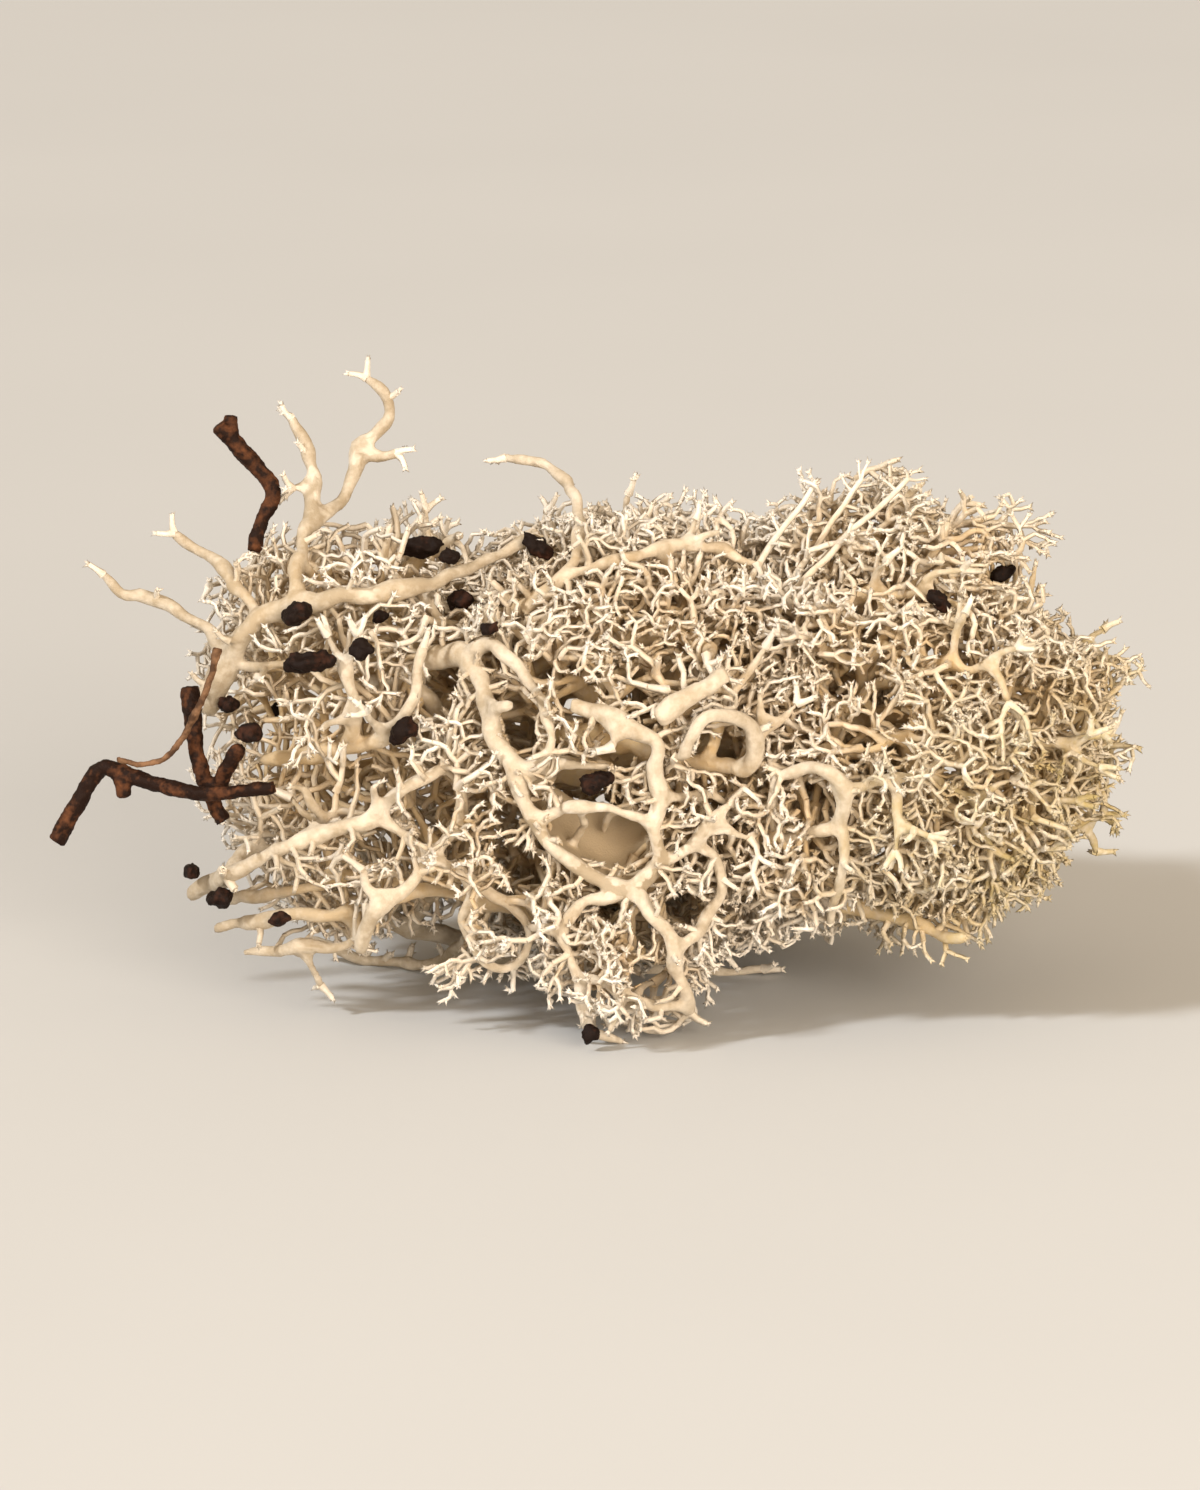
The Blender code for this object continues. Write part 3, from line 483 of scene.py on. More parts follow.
@dataclass
class Thicket:
    """Branch points of every podetium and twig, in millimetres.

    Attributes:
        rules: sizes of the stems and their first forks.
        points: place of each branch point.
        headings: unit direction in which each point was reached.
        radii: radius of the branch at each point.
        ages: 1 at a podetium's oldest end, falling towards its tips.
        owners: the piece that each point belongs to.
        links: pairs of joined points.
        runs: unbroken lengths of branch.
        grid: finds neighbours.
    """

    rules: StemRules = StemRules()
    points: list[Vector] = field(default_factory=list)
    headings: list[Vector] = field(default_factory=list)
    radii: list[float] = field(default_factory=list)
    ages: list[float] = field(default_factory=list)
    owners: list[str] = field(default_factory=list)
    links: list[tuple[int, int]] = field(default_factory=list)
    runs: list[Run] = field(default_factory=list)
    grid: BeadGrid = field(default_factory=lambda: BeadGrid(StemRules.cell))

    def add(self, place: Vector, radius: float, age: float, owner: str,
            parent: int | None = None) -> int:
        """Add a branch point.

        Args:
            place: where it is.
            radius: the branch's radius there.
            age: its age, from 1 at the base to 0 at a tip.
            owner: the piece's name.
            parent: the point that it grows from, if any.

        Returns:
            The new point's number.
        """
        number = len(self.points)
        self.points.append(Vector(place))
        heading = Vector((1.0, 0.0, 0.0))
        if parent is not None:
            heading = (self.points[number] - self.points[parent]).normalized()
        self.headings.append(heading)
        self.radii.append(radius)
        self.ages.append(age)
        self.owners.append(owner)
        self.grid.add(self.points[number], radius, number)
        if parent is not None:
            self.link(parent, number)
        return number

    def link(self, first: int, second: int) -> None:
        """Join two branch points, and enter the middle of the link."""
        self.links.append((first, second))
        self._enter_middle(first, second)

    def _enter_middle(self, first: int, second: int) -> None:
        """Enter the middle of a link in the grid."""
        middle = (self.points[first] + self.points[second]) / 2
        self.grid.add(middle, (self.radii[first] + self.radii[second]) / 2, second)

    def enter_all(self) -> None:
        """Fill the grid afresh, after points have moved."""
        self.grid.cells.clear()
        for number, place in enumerate(self.points):
            self.grid.add(place, self.radii[number], number)
        for first, second in self.links:
            self._enter_middle(first, second)

    def gap(self, place: Vector, radius: float, owner: str, skip: set[int], reach: float) -> float:
        """Least gap from a ball to other branches.

        Args:
            place: the ball's centre.
            radius: its radius.
            owner: the podetium it belongs to; others keep further off.
            skip: branch points that don't count.
            reach: the largest gap that matters.

        Returns:
            The gap, or the reach if nothing is nearer.
        """
        x, y, z = place
        extra = self.rules.other_gap - self.rules.own_gap
        least = reach
        far = reach + radius + self.rules.thickest
        for qx, qy, qz, other, number in self.grid.balls(place, far):
            if number in skip:
                continue
            space = math.sqrt((qx - x) ** 2 + (qy - y) ** 2 + (qz - z) ** 2) - other - radius
            if self.owners[number] != owner:
                space -= extra
            least = min(least, space)
        return least

    def near(self, start: int, reach: float) -> set[int]:
        """Find the branch points within reach of one.

        Args:
            start: number of the branch point in the middle.
            reach: how far off the others may be.

        Returns:
            Their numbers.
        """
        centre = self.points[start]
        return {number for x, y, z, _, number in self.grid.balls(centre, reach)
                if (Vector((x, y, z)) - centre).length < reach}

    def _weld_point(self, name: str, place: Vector) -> int | None:
        """Find the piece's own branch point that a stem's end joins.

        Args:
            name: the piece's name.
            place: the stem's end.

        Returns:
            The nearest point within reach, or None.
        """
        best, reach = None, self.rules.weld_reach
        for number, owner in enumerate(self.owners):
            space = (self.points[number] - place).length
            if owner == name and space < reach:
                best, reach = number, space
        return best

    def lay(self, plan: Plan) -> list[Shoot]:
        """Enter a piece's laid stems.

        Args:
            plan: the piece's name, radius and stems.

        Returns:
            The shoots that may go on from them.
        """
        rules, shoots = self.rules, []
        for stem in plan.stems:
            line = catmull(stem, rules.step)
            last = len(line) - 1
            start = self._weld_point(plan.name, line[0])
            end = self._weld_point(plan.name, line[last])
            thick, old = plan.radius, 1.0
            if start is not None:
                thick = self.radii[start] * rules.shoot_taper
                old = self.ages[start]
            previous = start
            run = [] if start is None else [start]
            for index, place in enumerate(line):
                if (index == 0 and start is not None) or (index == last and end is not None):
                    continue
                taper = 1.0 + (rules.taper - 1.0) * index / last
                radius = max(thick * taper, min(plan.radius, rules.thinnest))
                age = old * (1.0 - STEM_YOUNGER * index / last)
                previous = self.add(place, radius, age, plan.name, previous)
                run.append(previous)
                if index == last:
                    shoots.append(Shoot(previous))
                elif index % rules.bud_every == rules.bud_first:
                    shoots.append(Shoot(previous, rules.bud_angle))
            if end is not None:
                self.link(previous, end)
                run.append(end)
            self.runs.append(Run(plan.name, run, is_laid=True))
        return shoots

    def _beads(self) -> tuple[list[tuple[int, int]], list[Vector], KDTree]:
        """Gather every branch point and the middle of every link.

        Returns:
            The pair of points that each bead lies between, the beads' places,
            and a tree that finds them.
        """
        beads = [(number, number) for number in range(len(self.points))]
        beads += self.links
        places = [(self.points[a] + self.points[b]) / 2 for a, b in beads]
        return beads, places, finder(places)

    def settle(self, fixed: set[str]) -> None:
        """Push stems of different pieces apart until they no longer touch.

        Args:
            fixed: names of the pieces that don't give way.
        """
        rules = self.rules
        for _ in range(rules.settle_rounds):
            beads, places, tree = self._beads()
            pushes = [Vector() for _ in self.points]
            for number, (a, b) in enumerate(beads):
                thick = max(self.radii[a], self.radii[b])
                for _, other, space in tree.find_range(places[number], rules.settle_reach):
                    c, d = beads[other]
                    if other <= number or self.owners[a] == self.owners[c]:
                        continue
                    lack = (thick + max(self.radii[c], self.radii[d]) + rules.stem_gap - space)
                    if lack > 0.0:
                        away = (places[number] - places[other]).normalized() * (lack / 2)
                        for moved, push in ((a, away), (b, away), (c, -away), (d, -away)):
                            if push.length > pushes[moved].length:
                                pushes[moved] = push
            spread = [push.copy() for push in pushes]
            for a, b in self.links:
                spread[a] += pushes[b] * rules.push_share
                spread[b] += pushes[a] * rules.push_share
            for number, push in enumerate(spread):
                if self.owners[number] not in fixed:
                    self.points[number] += push
        self.enter_all()

    def fork(self, rng: random.Random, shoot: Shoot) -> list[Shoot]:
        """Grow the shoots that one bud or tip forks into.

        Args:
            rng: the source of every choice.
            shoot: the bud or tip.

        Returns:
            The new tips.
        """
        rules, number = self.rules, shoot.number
        origin, heading = self.points[number], self.headings[number]
        owner = self.owners[number]
        depth = depth_inside(LOBES, origin)
        if depth < 0.0:
            return []
        radius = max(rules.thinnest, self.radii[number] * rules.shoot_taper)
        length = min(rules.shoot_length[1], rules.shoot_length[0] + rules.depth_share * depth)
        skip = self.near(number, length * rules.skip_share + self.radii[number])
        around = rng.uniform(0.0, math.tau)
        grown = []
        count = 1 if shoot.lean else rng.choice(rules.children)
        for child in range(count):
            best = None
            for _ in range(rules.fork_tries):
                angle = shoot.lean + rng.uniform(*rules.fork_angle) * (
                    rules.bud_spread if shoot.lean else 1.0)
                azimuth = (around + math.tau * child / count
                           + rng.uniform(-rules.twirl, rules.twirl))
                bend = rng.uniform(*rules.bend)
                first = tilted(heading, angle, azimuth)
                second = tilted(first, bend, azimuth + math.pi)
                reach = length * rng.uniform(*rules.reach_share)
                middle = origin + first * (reach * 0.5)
                tip = middle + second * (reach * 0.5)
                if tip.z - radius < rules.table_gap or depth_inside(LOBES, tip) < rules.outside:
                    continue
                space = min(self.gap(place, radius, owner, skip, rules.widest_gap)
                            for place in (middle, tip))
                if space > rules.own_gap and (best is None or space > best[0]):
                    best = (space, middle, tip)
            if best is not None:
                age = self.ages[number] * SHOOT_YOUNGER
                knee = self.add(best[1], radius, age, owner, number)
                tip = self.add(best[2], radius, age * SHOOT_YOUNGER, owner, knee)
                skip = skip | {knee, tip}
                self.runs.append(Run(owner, [number, knee, tip]))
                grown.append(Shoot(tip))
        return grown

    def lean_together(self, stiff: set[str]) -> None:
        """Add short spurs until every piece rests against another one.

        Args:
            stiff: names of the pieces that grow no spurs.
        """
        rules = self.rules
        joined = {owner: owner for owner in self.owners}
        while len(set(joined.values())) > 1:
            beads, places, tree = self._beads()
            nearest = (math.inf, 0, 0)
            for number, place in enumerate(self.points):
                owner = self.owners[number]
                if owner in stiff:
                    continue
                for _, other, space in tree.find_range(place, rules.spur_reach):
                    a, b = beads[other]
                    if joined[self.owners[a]] == joined[owner]:
                        continue
                    gap = space - self.radii[number] - max(self.radii[a], self.radii[b])
                    if gap < nearest[0]:
                        nearest = (gap, number, other)
            gap, number, other = nearest
            owner = self.owners[number]
            touched = self.owners[beads[other][0]]
            if gap > rules.spur_gap:
                way = (places[other] - self.points[number]).normalized()
                radius = min(rules.thinnest, self.radii[number])
                reach = self.radii[number] + gap - rules.spur_gap - radius
                if reach > radius:
                    tip = self.add(self.points[number] + way * reach, radius,
                                   self.ages[number], owner, number)
                    self.runs.append(Run(owner, [number, tip]))
            old, new = joined[touched], joined[owner]
            joined = {name: new if group == old else group for name, group in joined.items()}


# ---- Fine growth ----

VIEW_UP = 0.974         # cosine and sine of the angle that the front is seen at
VIEW_BACK = 0.225
FOOT_BACK = 16.0        # how far the foot stands in front of the growth's middle
STRAY = 0.42            # how far stems wander from their smooth paths
STRAY_CELL = 1.9
HEAD_SWELL = 1.5        # how far the broad heads swell, and how closely they lie
HEAD_RATE = 0.24
TUFT_SWELL = 1.15       # the same for the small tufts on them
TUFT_RATE = 0.5
LOOSE_RANGE = (-3.0, -15.0)     # where along X the branching loosens
LOOSE_WANDER = 3.0      # how far that strays, and how closely
LOOSE_RATE = 0.2


def smooth_share(value: float, low: float, high: float) -> float:
    """Smooth step from 0 at low to 1 at high; low may be the larger."""
    share = min(1.0, max(0.0, (value - low) / (high - low)))
    return share * share * (3.0 - 2.0 * share)


def height_in_view(place: Vector) -> float:
    """Height of a place above the foot of the clump, seen from the front."""
    return VIEW_UP * place.z + VIEW_BACK * (place.y + FOOT_BACK)


def looseness(place: Vector) -> float:
    """How loose the branching is, from 0 in the crowns to 1 at the old ends."""
    return smooth_share(place.x + LOOSE_WANDER * noise.noise(place * LOOSE_RATE), *LOOSE_RANGE)


SPRAY_LOBES = (
    Lobe((16.6, -2, 14.3), (12.6, 12.6, 11)),
    LOBES[1],
    Lobe((-12.3, 1.5, 14.5), (10, 11.5, 11.2)),
    *LOBES[3:5],
    Lobe((-10.8, -6.3, 7.8), (8.8, 6.4, 5)),
    Lobe((15.5, 0.5, 22), (7, 6.5, 6.8)),
    Lobe((20.6, -0.8, 23), (5.4, 5.6, 4.7)),
    Lobe((-16.6, -0.5, 22), (3.8, 5, 3.8)),
    Lobe((19.4, -8.4, 6.4), (3, 3.4, 3.2)),
    Lobe((27.2, -4.6, 18.2), (2.4, 3, 3)),
    Lobe((0, -8.5, 11), (13, 6.2, 9.5)),
    Lobe((-6.5, -11, 7.5), (5.5, 4.2, 5)),
    Lobe((10.5, -10, 11.5), (6, 4.9, 6)),
)


def head_swell(place: Vector) -> float:
    """How far the heads swell from the smooth outline, in millimetres."""
    return (HEAD_SWELL * noise.noise(place * HEAD_RATE)
            + TUFT_SWELL * noise.noise(place * TUFT_RATE))


def outline_depth(place: Vector) -> float:
    """Depth inside the clump's outline, with the heads that swell from it."""
    return depth_inside(SPRAY_LOBES, place) + head_swell(place)


def wandered(place: Vector) -> Vector:
    """Where a point of a laid stem or first shoot really stands."""
    return place + STRAY * noise.noise_vector(place / STRAY_CELL)


@dataclass(frozen=True)
class Opening:
    """A window between the front branches: an oval seen from the front.

    It clears what lies in front of its back. Lengths are in millimetres, and the
    turn is in degrees, anticlockwise.
    """

    x: float
    height: float
    half_width: float
    half_height: float
    turn: float = 0.0
    back: float = -5.0

    def holds(self, place: Vector, height: float) -> bool:
        """Test whether a place stands in the window's way in.

        Args:
            place: the place.
            height: its height in view.

        Returns:
            Whether it does.
        """
        if place.y > self.back:
            return False
        turn = math.radians(self.turn)
        dx, dy = place.x - self.x, height - self.height
        along = dx * math.cos(turn) + dy * math.sin(turn)
        across = dy * math.cos(turn) - dx * math.sin(turn)
        return (along / self.half_width) ** 2 + (across / self.half_height) ** 2 < 1.0


# Windows: x, height in view, half width, half height, turn and back.
OPENINGS = tuple(Opening(*sizes) for sizes in (
    (0.45, 12.05, 2.9, 1.65, -22), (2, 16.7, 1.5, 1.1, 10), (-0.75, 14.8, 1.5, 1.1, 10),
    (6.8, 16.4, 1.7, 0.9, 20), (11.9, 13.6, 1.3, 1.2, 0, -12.6),
    (-8.5, 20.1, 0.9, 1.9, -25), (-4.1, 18.2, 0.95, 1.9, 10), (-5.5, 22, 0.8, 1.2, 20),
    (-2.9, 21, 0.7, 0.7), (-1.1, 19.9, 1.1, 0.75), (-4.7, 12.9, 0.65, 0.85),
    (-4, 10.3, 1.7, 0.95, -38), (-4.7, 7.3, 1.5, 1.1, -25), (-9.2, 7, 2.4, 2.3, 20),
    (-9, 13.8, 1.5, 1.5), (-12.2, 14.5, 0.7, 1.2, 20), (-14.8, 13.8, 0.9, 0.9),
    (-11.7, 11.2, 1.9, 0.75, 8), (-7.7, 11, 0.9, 0.6), (4.9, 7.9, 1.1, 0.9),
    (2.7, 7.1, 0.7, 1.1), (0.8, 7.9, 0.7, 0.9), (3, 4, 1.1, 1.1),
    (-17.5, 17, 1, 1.3, 20), (-19.5, 21.5, 1.2, 1.6, 10),
))


# Long thin branches that rise out of the top right head.
STRANDS = {
    "top_right_podetium": (
        ((8.5, -4.5, 20.5), (10.4, -3.6, 22.9), (12.8, -2.4, 26.2), (14.9, -1, 29)),
        ((9.6, -5.2, 21.4), (11.6, -4.6, 24), (14.8, -3.4, 27), (17.4, -1.6, 29.2)),
        ((7, -4.2, 21.6), (8.9, -3.4, 24.2), (10.9, -2.4, 27), (12.4, -1.4, 29)),
    ),
}


@dataclass(frozen=True)
class Tuft:
    """Stout branches that spread from one place, in millimetres."""

    owner: str
    base: Point
    tips: tuple[Point, ...]
    bulge: float = 0.9
    bulge_rate: float = 0.9
    near_share: float = 0.35
    far_share: float = 0.7
    far_bulge: float = 0.6

    def strands(self) -> list[Stem]:
        """Lay a curved path from the base to each tip.

        Returns:
            The paths.
        """
        base, made = Vector(self.base), []
        for tip in self.tips:
            end = Vector(tip)
            bulge = self.bulge * noise.noise_vector(end * self.bulge_rate)
            made.append((self.base, tuple(base.lerp(end, self.near_share) + bulge),
                         tuple(base.lerp(end, self.far_share) + bulge * self.far_bulge),
                         tip))
        return made


# Tufts of the right crown: the place that each spreads from, and its tips.
TUFTS = tuple(Tuft("right_crown_podetium", *places) for places in (
    ((18.8, -6.6, 8.6),
     ((17.2, -9.8, 5.6), (18.3, -10.4, 4.9), (19.6, -10.6, 4.5), (20.8, -10.2, 5.2),
      (21.7, -9.2, 6.3), (16.8, -9.8, 7.5))),
    ((24.6, -4, 14.6),
     ((26.2, -6, 19.6), (27.4, -5.2, 20.2), (28.5, -4.4, 19.3), (29.4, -3, 17.6),
      (25.2, -7.4, 18.4))),
    ((20.6, -4.6, 17.2),
     ((22.6, -7.2, 20.8), (23.7, -6.4, 21.6), (24.8, -5.6, 21.4), (25.6, -4.6, 20.4),
      (21.4, -7.8, 19.8))),
    ((13.5, -8.6, 15),
     ((14, -11.6, 17.8), (15.4, -11.8, 17.2), (16.4, -11.6, 15.6), (13, -12, 14.4),
      (15.6, -12.2, 13.4))),
))


@dataclass(frozen=True)
class SprayRound:
    """One round of fine forks: sizes in millimetres, spread in radians."""

    length: float
    radius: float
    gap: float
    children: tuple[int, ...]
    deepest: float
    grade: int


@dataclass(frozen=True)
class SprayRules:
    """How the fine growth forks, in millimetres and radians."""

    rounds: tuple[SprayRound, ...] = tuple(SprayRound(*sizes) for sizes in (
        (1.90, 0.250, 0.34, (2, 2, 3), 14.0, 0),
        (1.55, 0.220, 0.28, (2, 2, 3), 9.0, 0),
        (1.15, 0.195, 0.24, (2, 2, 3), 5.6, 1),
        (0.92, 0.178, 0.20, (2, 2, 3), 4.2, 1),
        (0.78, 0.162, 0.175, (2, 3), 3.2, 2),
        (0.68, 0.150, 0.16, (2, 3), 2.7, 2),
        (0.60, 0.140, 0.15, (2, 3), 2.3, 2),
        (0.46, 0.132, 0.14, (2, 3), 1.2, 2),
    ))
    outside_from: int = 7
    outside_reach: float = 0.9
    outside_share: float = 0.5
    back_scale: float = 0.45
    spread: Span = (math.radians(22.0), math.radians(58.0))
    lean: float = math.radians(66.0)
    bend: Span = (math.radians(5.0), math.radians(32.0))
    tries: int = 7
    cell: float = 1.3
    loose_length: float = 0.5
    loose_gap: float = 0.7
    loose_drop: float = 0.32
    flare: float = 1.55
    inner_depth: float = 4.0
    strand_step: float = 0.9
    strand_radius: Span = (0.25, 0.16)
    strand_age: Span = (0.65, 0.3)
    strand_stray: float = 0.5
    nub: float = 0.5
    nub_length: float = 1.0
    clear_share: float = 0.6
    younger: float = 0.86
    youngest: float = 0.5
    young_from: int = 5
    ragged: Span = (-0.7, 0.5)
    knee_share: float = 0.55
    side_share: float = 0.5
    table_gap: float = 0.12
    back_range: Span = (0.0, 9.0)
    length_share: Span = (0.8, 1.2)
    bud_spread: float = 0.3
    twirl: float = 0.8
    tip_share: float = 0.92
    search: float = 1.1
    late_depth: float = -0.5
    early_depth: float = 3.2
    middle_depth: float = 1.8


@dataclass(frozen=True)
class Bud:
    """A place that fine growth goes on from."""

    place: Vector
    heading: Vector
    radius: float
    age: float
    owner: str
    lean: float = 0.0
    start: int = 0


@dataclass
class Line:
    """One branch's points, with a radius and age at each; finer grades are thinner."""

    places: list[Vector]
    radii: list[float]
    ages: list[float]
    grade: int = 0


def is_free(place: Vector, balls: list[tuple[float, ...]]) -> bool:
    """Test whether a place keeps the distance that every ball asks for.

    Args:
        place: the place.
        balls: x, y, z and the squared distance to keep.

    Returns:
        Whether it does.
    """
    x, y, z = place
    for qx, qy, qz, need in balls:
        if (qx - x) ** 2 + (qy - y) ** 2 + (qz - z) ** 2 < need:
            return False
    return True


@dataclass
class Spray:
    """The fine growth of every podetium.

    Attributes:
        thicket: the stems and first shoots that it grows from.
        openings: the windows kept clear.
        rules: its sizes.
        lines: fine branches of each piece.
        tips: the ends of each piece's branches.
        rng: the source of every choice.
        grid: finds neighbours.
    """

    thicket: Thicket
    openings: tuple[Opening, ...] = OPENINGS
    rules: SprayRules = SprayRules()
    lines: dict[str, list[Line]] = field(default_factory=dict)
    tips: dict[str, list[Bud]] = field(default_factory=dict)
    rng: random.Random = field(default_factory=lambda: random.Random(FINE_SEED))
    grid: BeadGrid = field(default_factory=lambda: BeadGrid(SprayRules.cell))

    def grow(self, habits: dict[str, Habit]) -> None:
        """Grow every round.

        Args:
            habits: how readily each piece buds.
        """
        self._enter_thicket()
        self.lines = {name: [] for name in habits}
        self.tips = {name: [] for name in habits}
        buds = self._first_buds(habits) + self._lay_strands()
        for number, stage in enumerate(self.rules.rounds):
            self.rng.shuffle(buds)
            waiting = []
            for bud in buds:
                if number < self._first_round(bud):
                    waiting.append(bud)
                    continue
                grown = self._fork(bud, stage, number)
                if not grown and not bud.lean:
                    self.tips[bud.owner].append(bud)
                waiting += grown
            buds = waiting
            LOG.info("round %d: %d buds", number, len(buds))
        for bud in buds:
            self.tips[bud.owner].append(bud)

    def _enter_thicket(self) -> None:
        """Enter the stems and first shoots in the grid."""
        thicket = self.thicket
        for place, radius in zip(thicket.points, thicket.radii):
            self.grid.add(wandered(place), radius)
        for a, b in thicket.links:
            self.grid.add(wandered((thicket.points[a] + thicket.points[b]) / 2),
                          (thicket.radii[a] + thicket.radii[b]) / 2)

    def _lay_strands(self) -> list[Bud]:
        """Lay the long thin branches.

        Returns:
            The buds along them and at their tips.
        """
        rules, buds = self.rules, []
        laid = [(tuft.owner, tuft.strands()) for tuft in TUFTS]
        for owner, strands in (*STRANDS.items(), *laid):
            for strand in strands:
                places = [place.lerp(wandered(place), rules.strand_stray)
                          for place in catmull(strand, rules.strand_step)]
                last = len(places) - 1
                radii, ages = ([start + (end - start) * index / last
                                for index in range(last + 1)]
                               for start, end in (rules.strand_radius, rules.strand_age))
                self.lines[owner].append(Line(places, radii, ages))
                for index in range(1, last + 1):
                    heading = (places[index] - places[index - 1]).normalized()
                    self.grid.add(places[index], radii[index])
                    lean = rules.lean if index < last else 0.0
                    buds.append(Bud(places[index], heading, radii[index], ages[index],
                                    owner, lean, len(rules.rounds) // 2))
        return buds

    def _first_round(self, bud: Bud) -> int:
        """Find the round in which a bud starts: the nearer the outline, the later.

        Args:
            bud: the bud.

        Returns:
            The round's number.
        """
        rules, depth = self.rules, outline_depth(bud.place)
        if depth < rules.late_depth:
            return rules.outside_from
        if depth > rules.early_depth:
            return bud.start
        return max(bud.start, 1 if depth > rules.middle_depth else 2)

    def _first_buds(self, habits: dict[str, Habit]) -> list[Bud]:
        """Bud along the laid stems, at knees and at the shoots' tips.

        Args:
            habits: how readily each piece buds.

        Returns:
            The buds.
        """
        thicket, rules, buds = self.thicket, self.rules, []
        carried = {a for a, _ in thicket.links}
        for run in thicket.runs:
            if run.owner not in habits:
                continue
            chance, count, start = habits[run.owner].value
            if not run.is_laid:
                chance, count, start = rules.knee_share, 1, 0
            for number in run.numbers[1:]:
                place = wandered(thicket.points[number])
                bud = (place, thicket.headings[number], thicket.radii[number],
                       thicket.ages[number], run.owner)
                if number not in carried:
                    buds.append(Bud(*bud))
                    continue
                is_outside = outline_depth(place) < rules.ragged[0]
                share = rules.outside_share if is_outside else 1.0
                for _ in range(count):
                    if self.rng.random() < chance * share:
                        buds.append(Bud(*bud, rules.lean, start))
        return buds

    def _fork(self, bud: Bud, stage: SprayRound, number: int) -> list[Bud]:
        """Grow one bud's children.

        Args:
            bud: where they grow from.
            stage: this round's sizes.
            number: this round's number.

        Returns:
            The buds at their tips.
        """
        rules, rng = self.rules, self.rng
        depth = outline_depth(bud.place)
        if depth > stage.deepest:
            return []
        is_outside = depth < rules.ragged[0]
        loose = 0.0 if is_outside else looseness(bud.place)
        scale = 1.0 + rules.back_scale * smooth_share(bud.place.y, *rules.back_range)
        length = (stage.length * scale * (1.0 + rules.loose_length * loose)
                  * rng.uniform(*rules.length_share))
        gap = stage.gap * scale * (1.0 + rules.loose_gap * loose)
        radius = min(stage.radius, bud.radius)
        if is_outside and bud.radius > stage.radius:
            radius, length = rules.nub * bud.radius, rules.nub_length
        balls = self.grid.near(bud.place, length * rules.search + gap + radius,
                               rules.clear_share * length + bud.radius * 0.5,
                               gap + radius)
        around = rng.uniform(0.0, math.tau)
        count = 1 if bud.lean else rng.choice(stage.children)
        if loose * rules.loose_drop > rng.random():
            count = max(1, count - 1)
        limit = rng.uniform(*rules.ragged)
        if is_outside and number >= rules.outside_from:
            limit = depth - rules.outside_reach
        grown = []
        for child in range(count):
            for _ in range(rules.tries):
                angle = rng.uniform(*rules.spread)
                if bud.lean:
                    angle = bud.lean + rules.bud_spread * (angle - rules.spread[0])
                azimuth = (around + math.tau * child / count
                           + rng.uniform(-rules.twirl, rules.twirl))
                bend = rng.uniform(*rules.bend)
                first = tilted(bud.heading, angle, azimuth)
                second = tilted(first, bend, azimuth + math.pi)
                knee = bud.place + first * (length * 0.5)
                tip = knee + second * (length * 0.5)
                if (self._is_open(tip, radius, limit) and is_free(tip, balls)
                        and is_free(knee, balls)):
                    break
            else:
                continue
            age = bud.age * (rules.youngest if number >= rules.young_from else rules.younger)
            self.lines[bud.owner].append(Line(
                [bud.place, knee, tip],
                [min(bud.radius, radius * rules.flare), radius, radius * rules.tip_share],
                [bud.age, (bud.age + age) / 2, age],
                0 if is_outside else max(stage.grade, int(depth > rules.inner_depth))))
            for ball in (knee, tip):
                self.grid.add(ball, radius)
                balls.append((*ball, (gap + 2 * radius) ** 2))
            grown.append(Bud(tip, second, radius * rules.tip_share, age, bud.owner))
            if rng.random() < rules.side_share:
                grown.append(Bud(knee, first, radius, age, bud.owner, rules.lean))
        return grown

    def _is_open(self, place: Vector, radius: float, limit: float) -> bool:
        """Whether a tip may stand at a place.

        Args:
            place: the tip.
            radius: its radius.
            limit: least depth inside the outline.

        Returns:
            Whether it lies over the table, in the outline and in no clearing.
        """
        if place.z - radius < self.rules.table_gap or outline_depth(place) < limit:
            return False
        height = height_in_view(place)
        return not any(opening.holds(place, height) for opening in self.openings)


# ---- Meshes ----

def in_frame(place: Vector) -> Vector:
    """A place in the growth's millimetres as metres in the frame."""
    return (place - MIDDLE) * MM


@dataclass(frozen=True)
class Tints:
    """Where the lichen browns and turns olive, partly real and partly painted shade, in
    millimetres.
    """

    brown_depths: Span = (-0.9, 2.7)
    brown_swell: float = 0.6
    olive_side: Span = (10.0, 24.0)
    olive_height: Span = (24.0, 12.0)
    olive_shares: Span = (0.35, 0.65)
    wander: float = 5.0
    wander_rate: float = 0.16

    def browning(self, place: Vector) -> float:
        """How brown a place is, with painted shade: 0 on the heads, 1 deep between them."""
        # Painted shade in part: browner deeper in the hollows between heads, along with the real
        # brown of old branches deep inside.
        return smooth_share(outline_depth(place) - self.brown_swell * head_swell(place),
                            *self.brown_depths)

    def olive(self, place: Vector) -> float:
        """Work out how olive a place is: most low on the right crown's side, where it is partly
        painted shade.

        Args:
            place: the place.

        Returns:
            The share, from 0 to 1.
        """
        # Painted shade in part: the lichen's own olive, stronger low on the right, the side turned
        # from the light.
        wander = self.wander * noise.noise(place * self.wander_rate)
        side = smooth_share(place.x + wander, *self.olive_side)
        low = smooth_share(place.z + wander, *self.olive_height)
        return side * (self.olive_shares[0] + self.olive_shares[1] * low)


def set_values(mesh: Mesh, name: str, values: list[float], kind: str = "FLOAT") -> None:
    """Store a number for each vertex, or a vector's three, as a named attribute."""
    attribute = mesh.attributes.new(name, kind, "POINT")
    attribute.data.foreach_set("vector" if kind == "FLOAT_VECTOR" else "value", values)


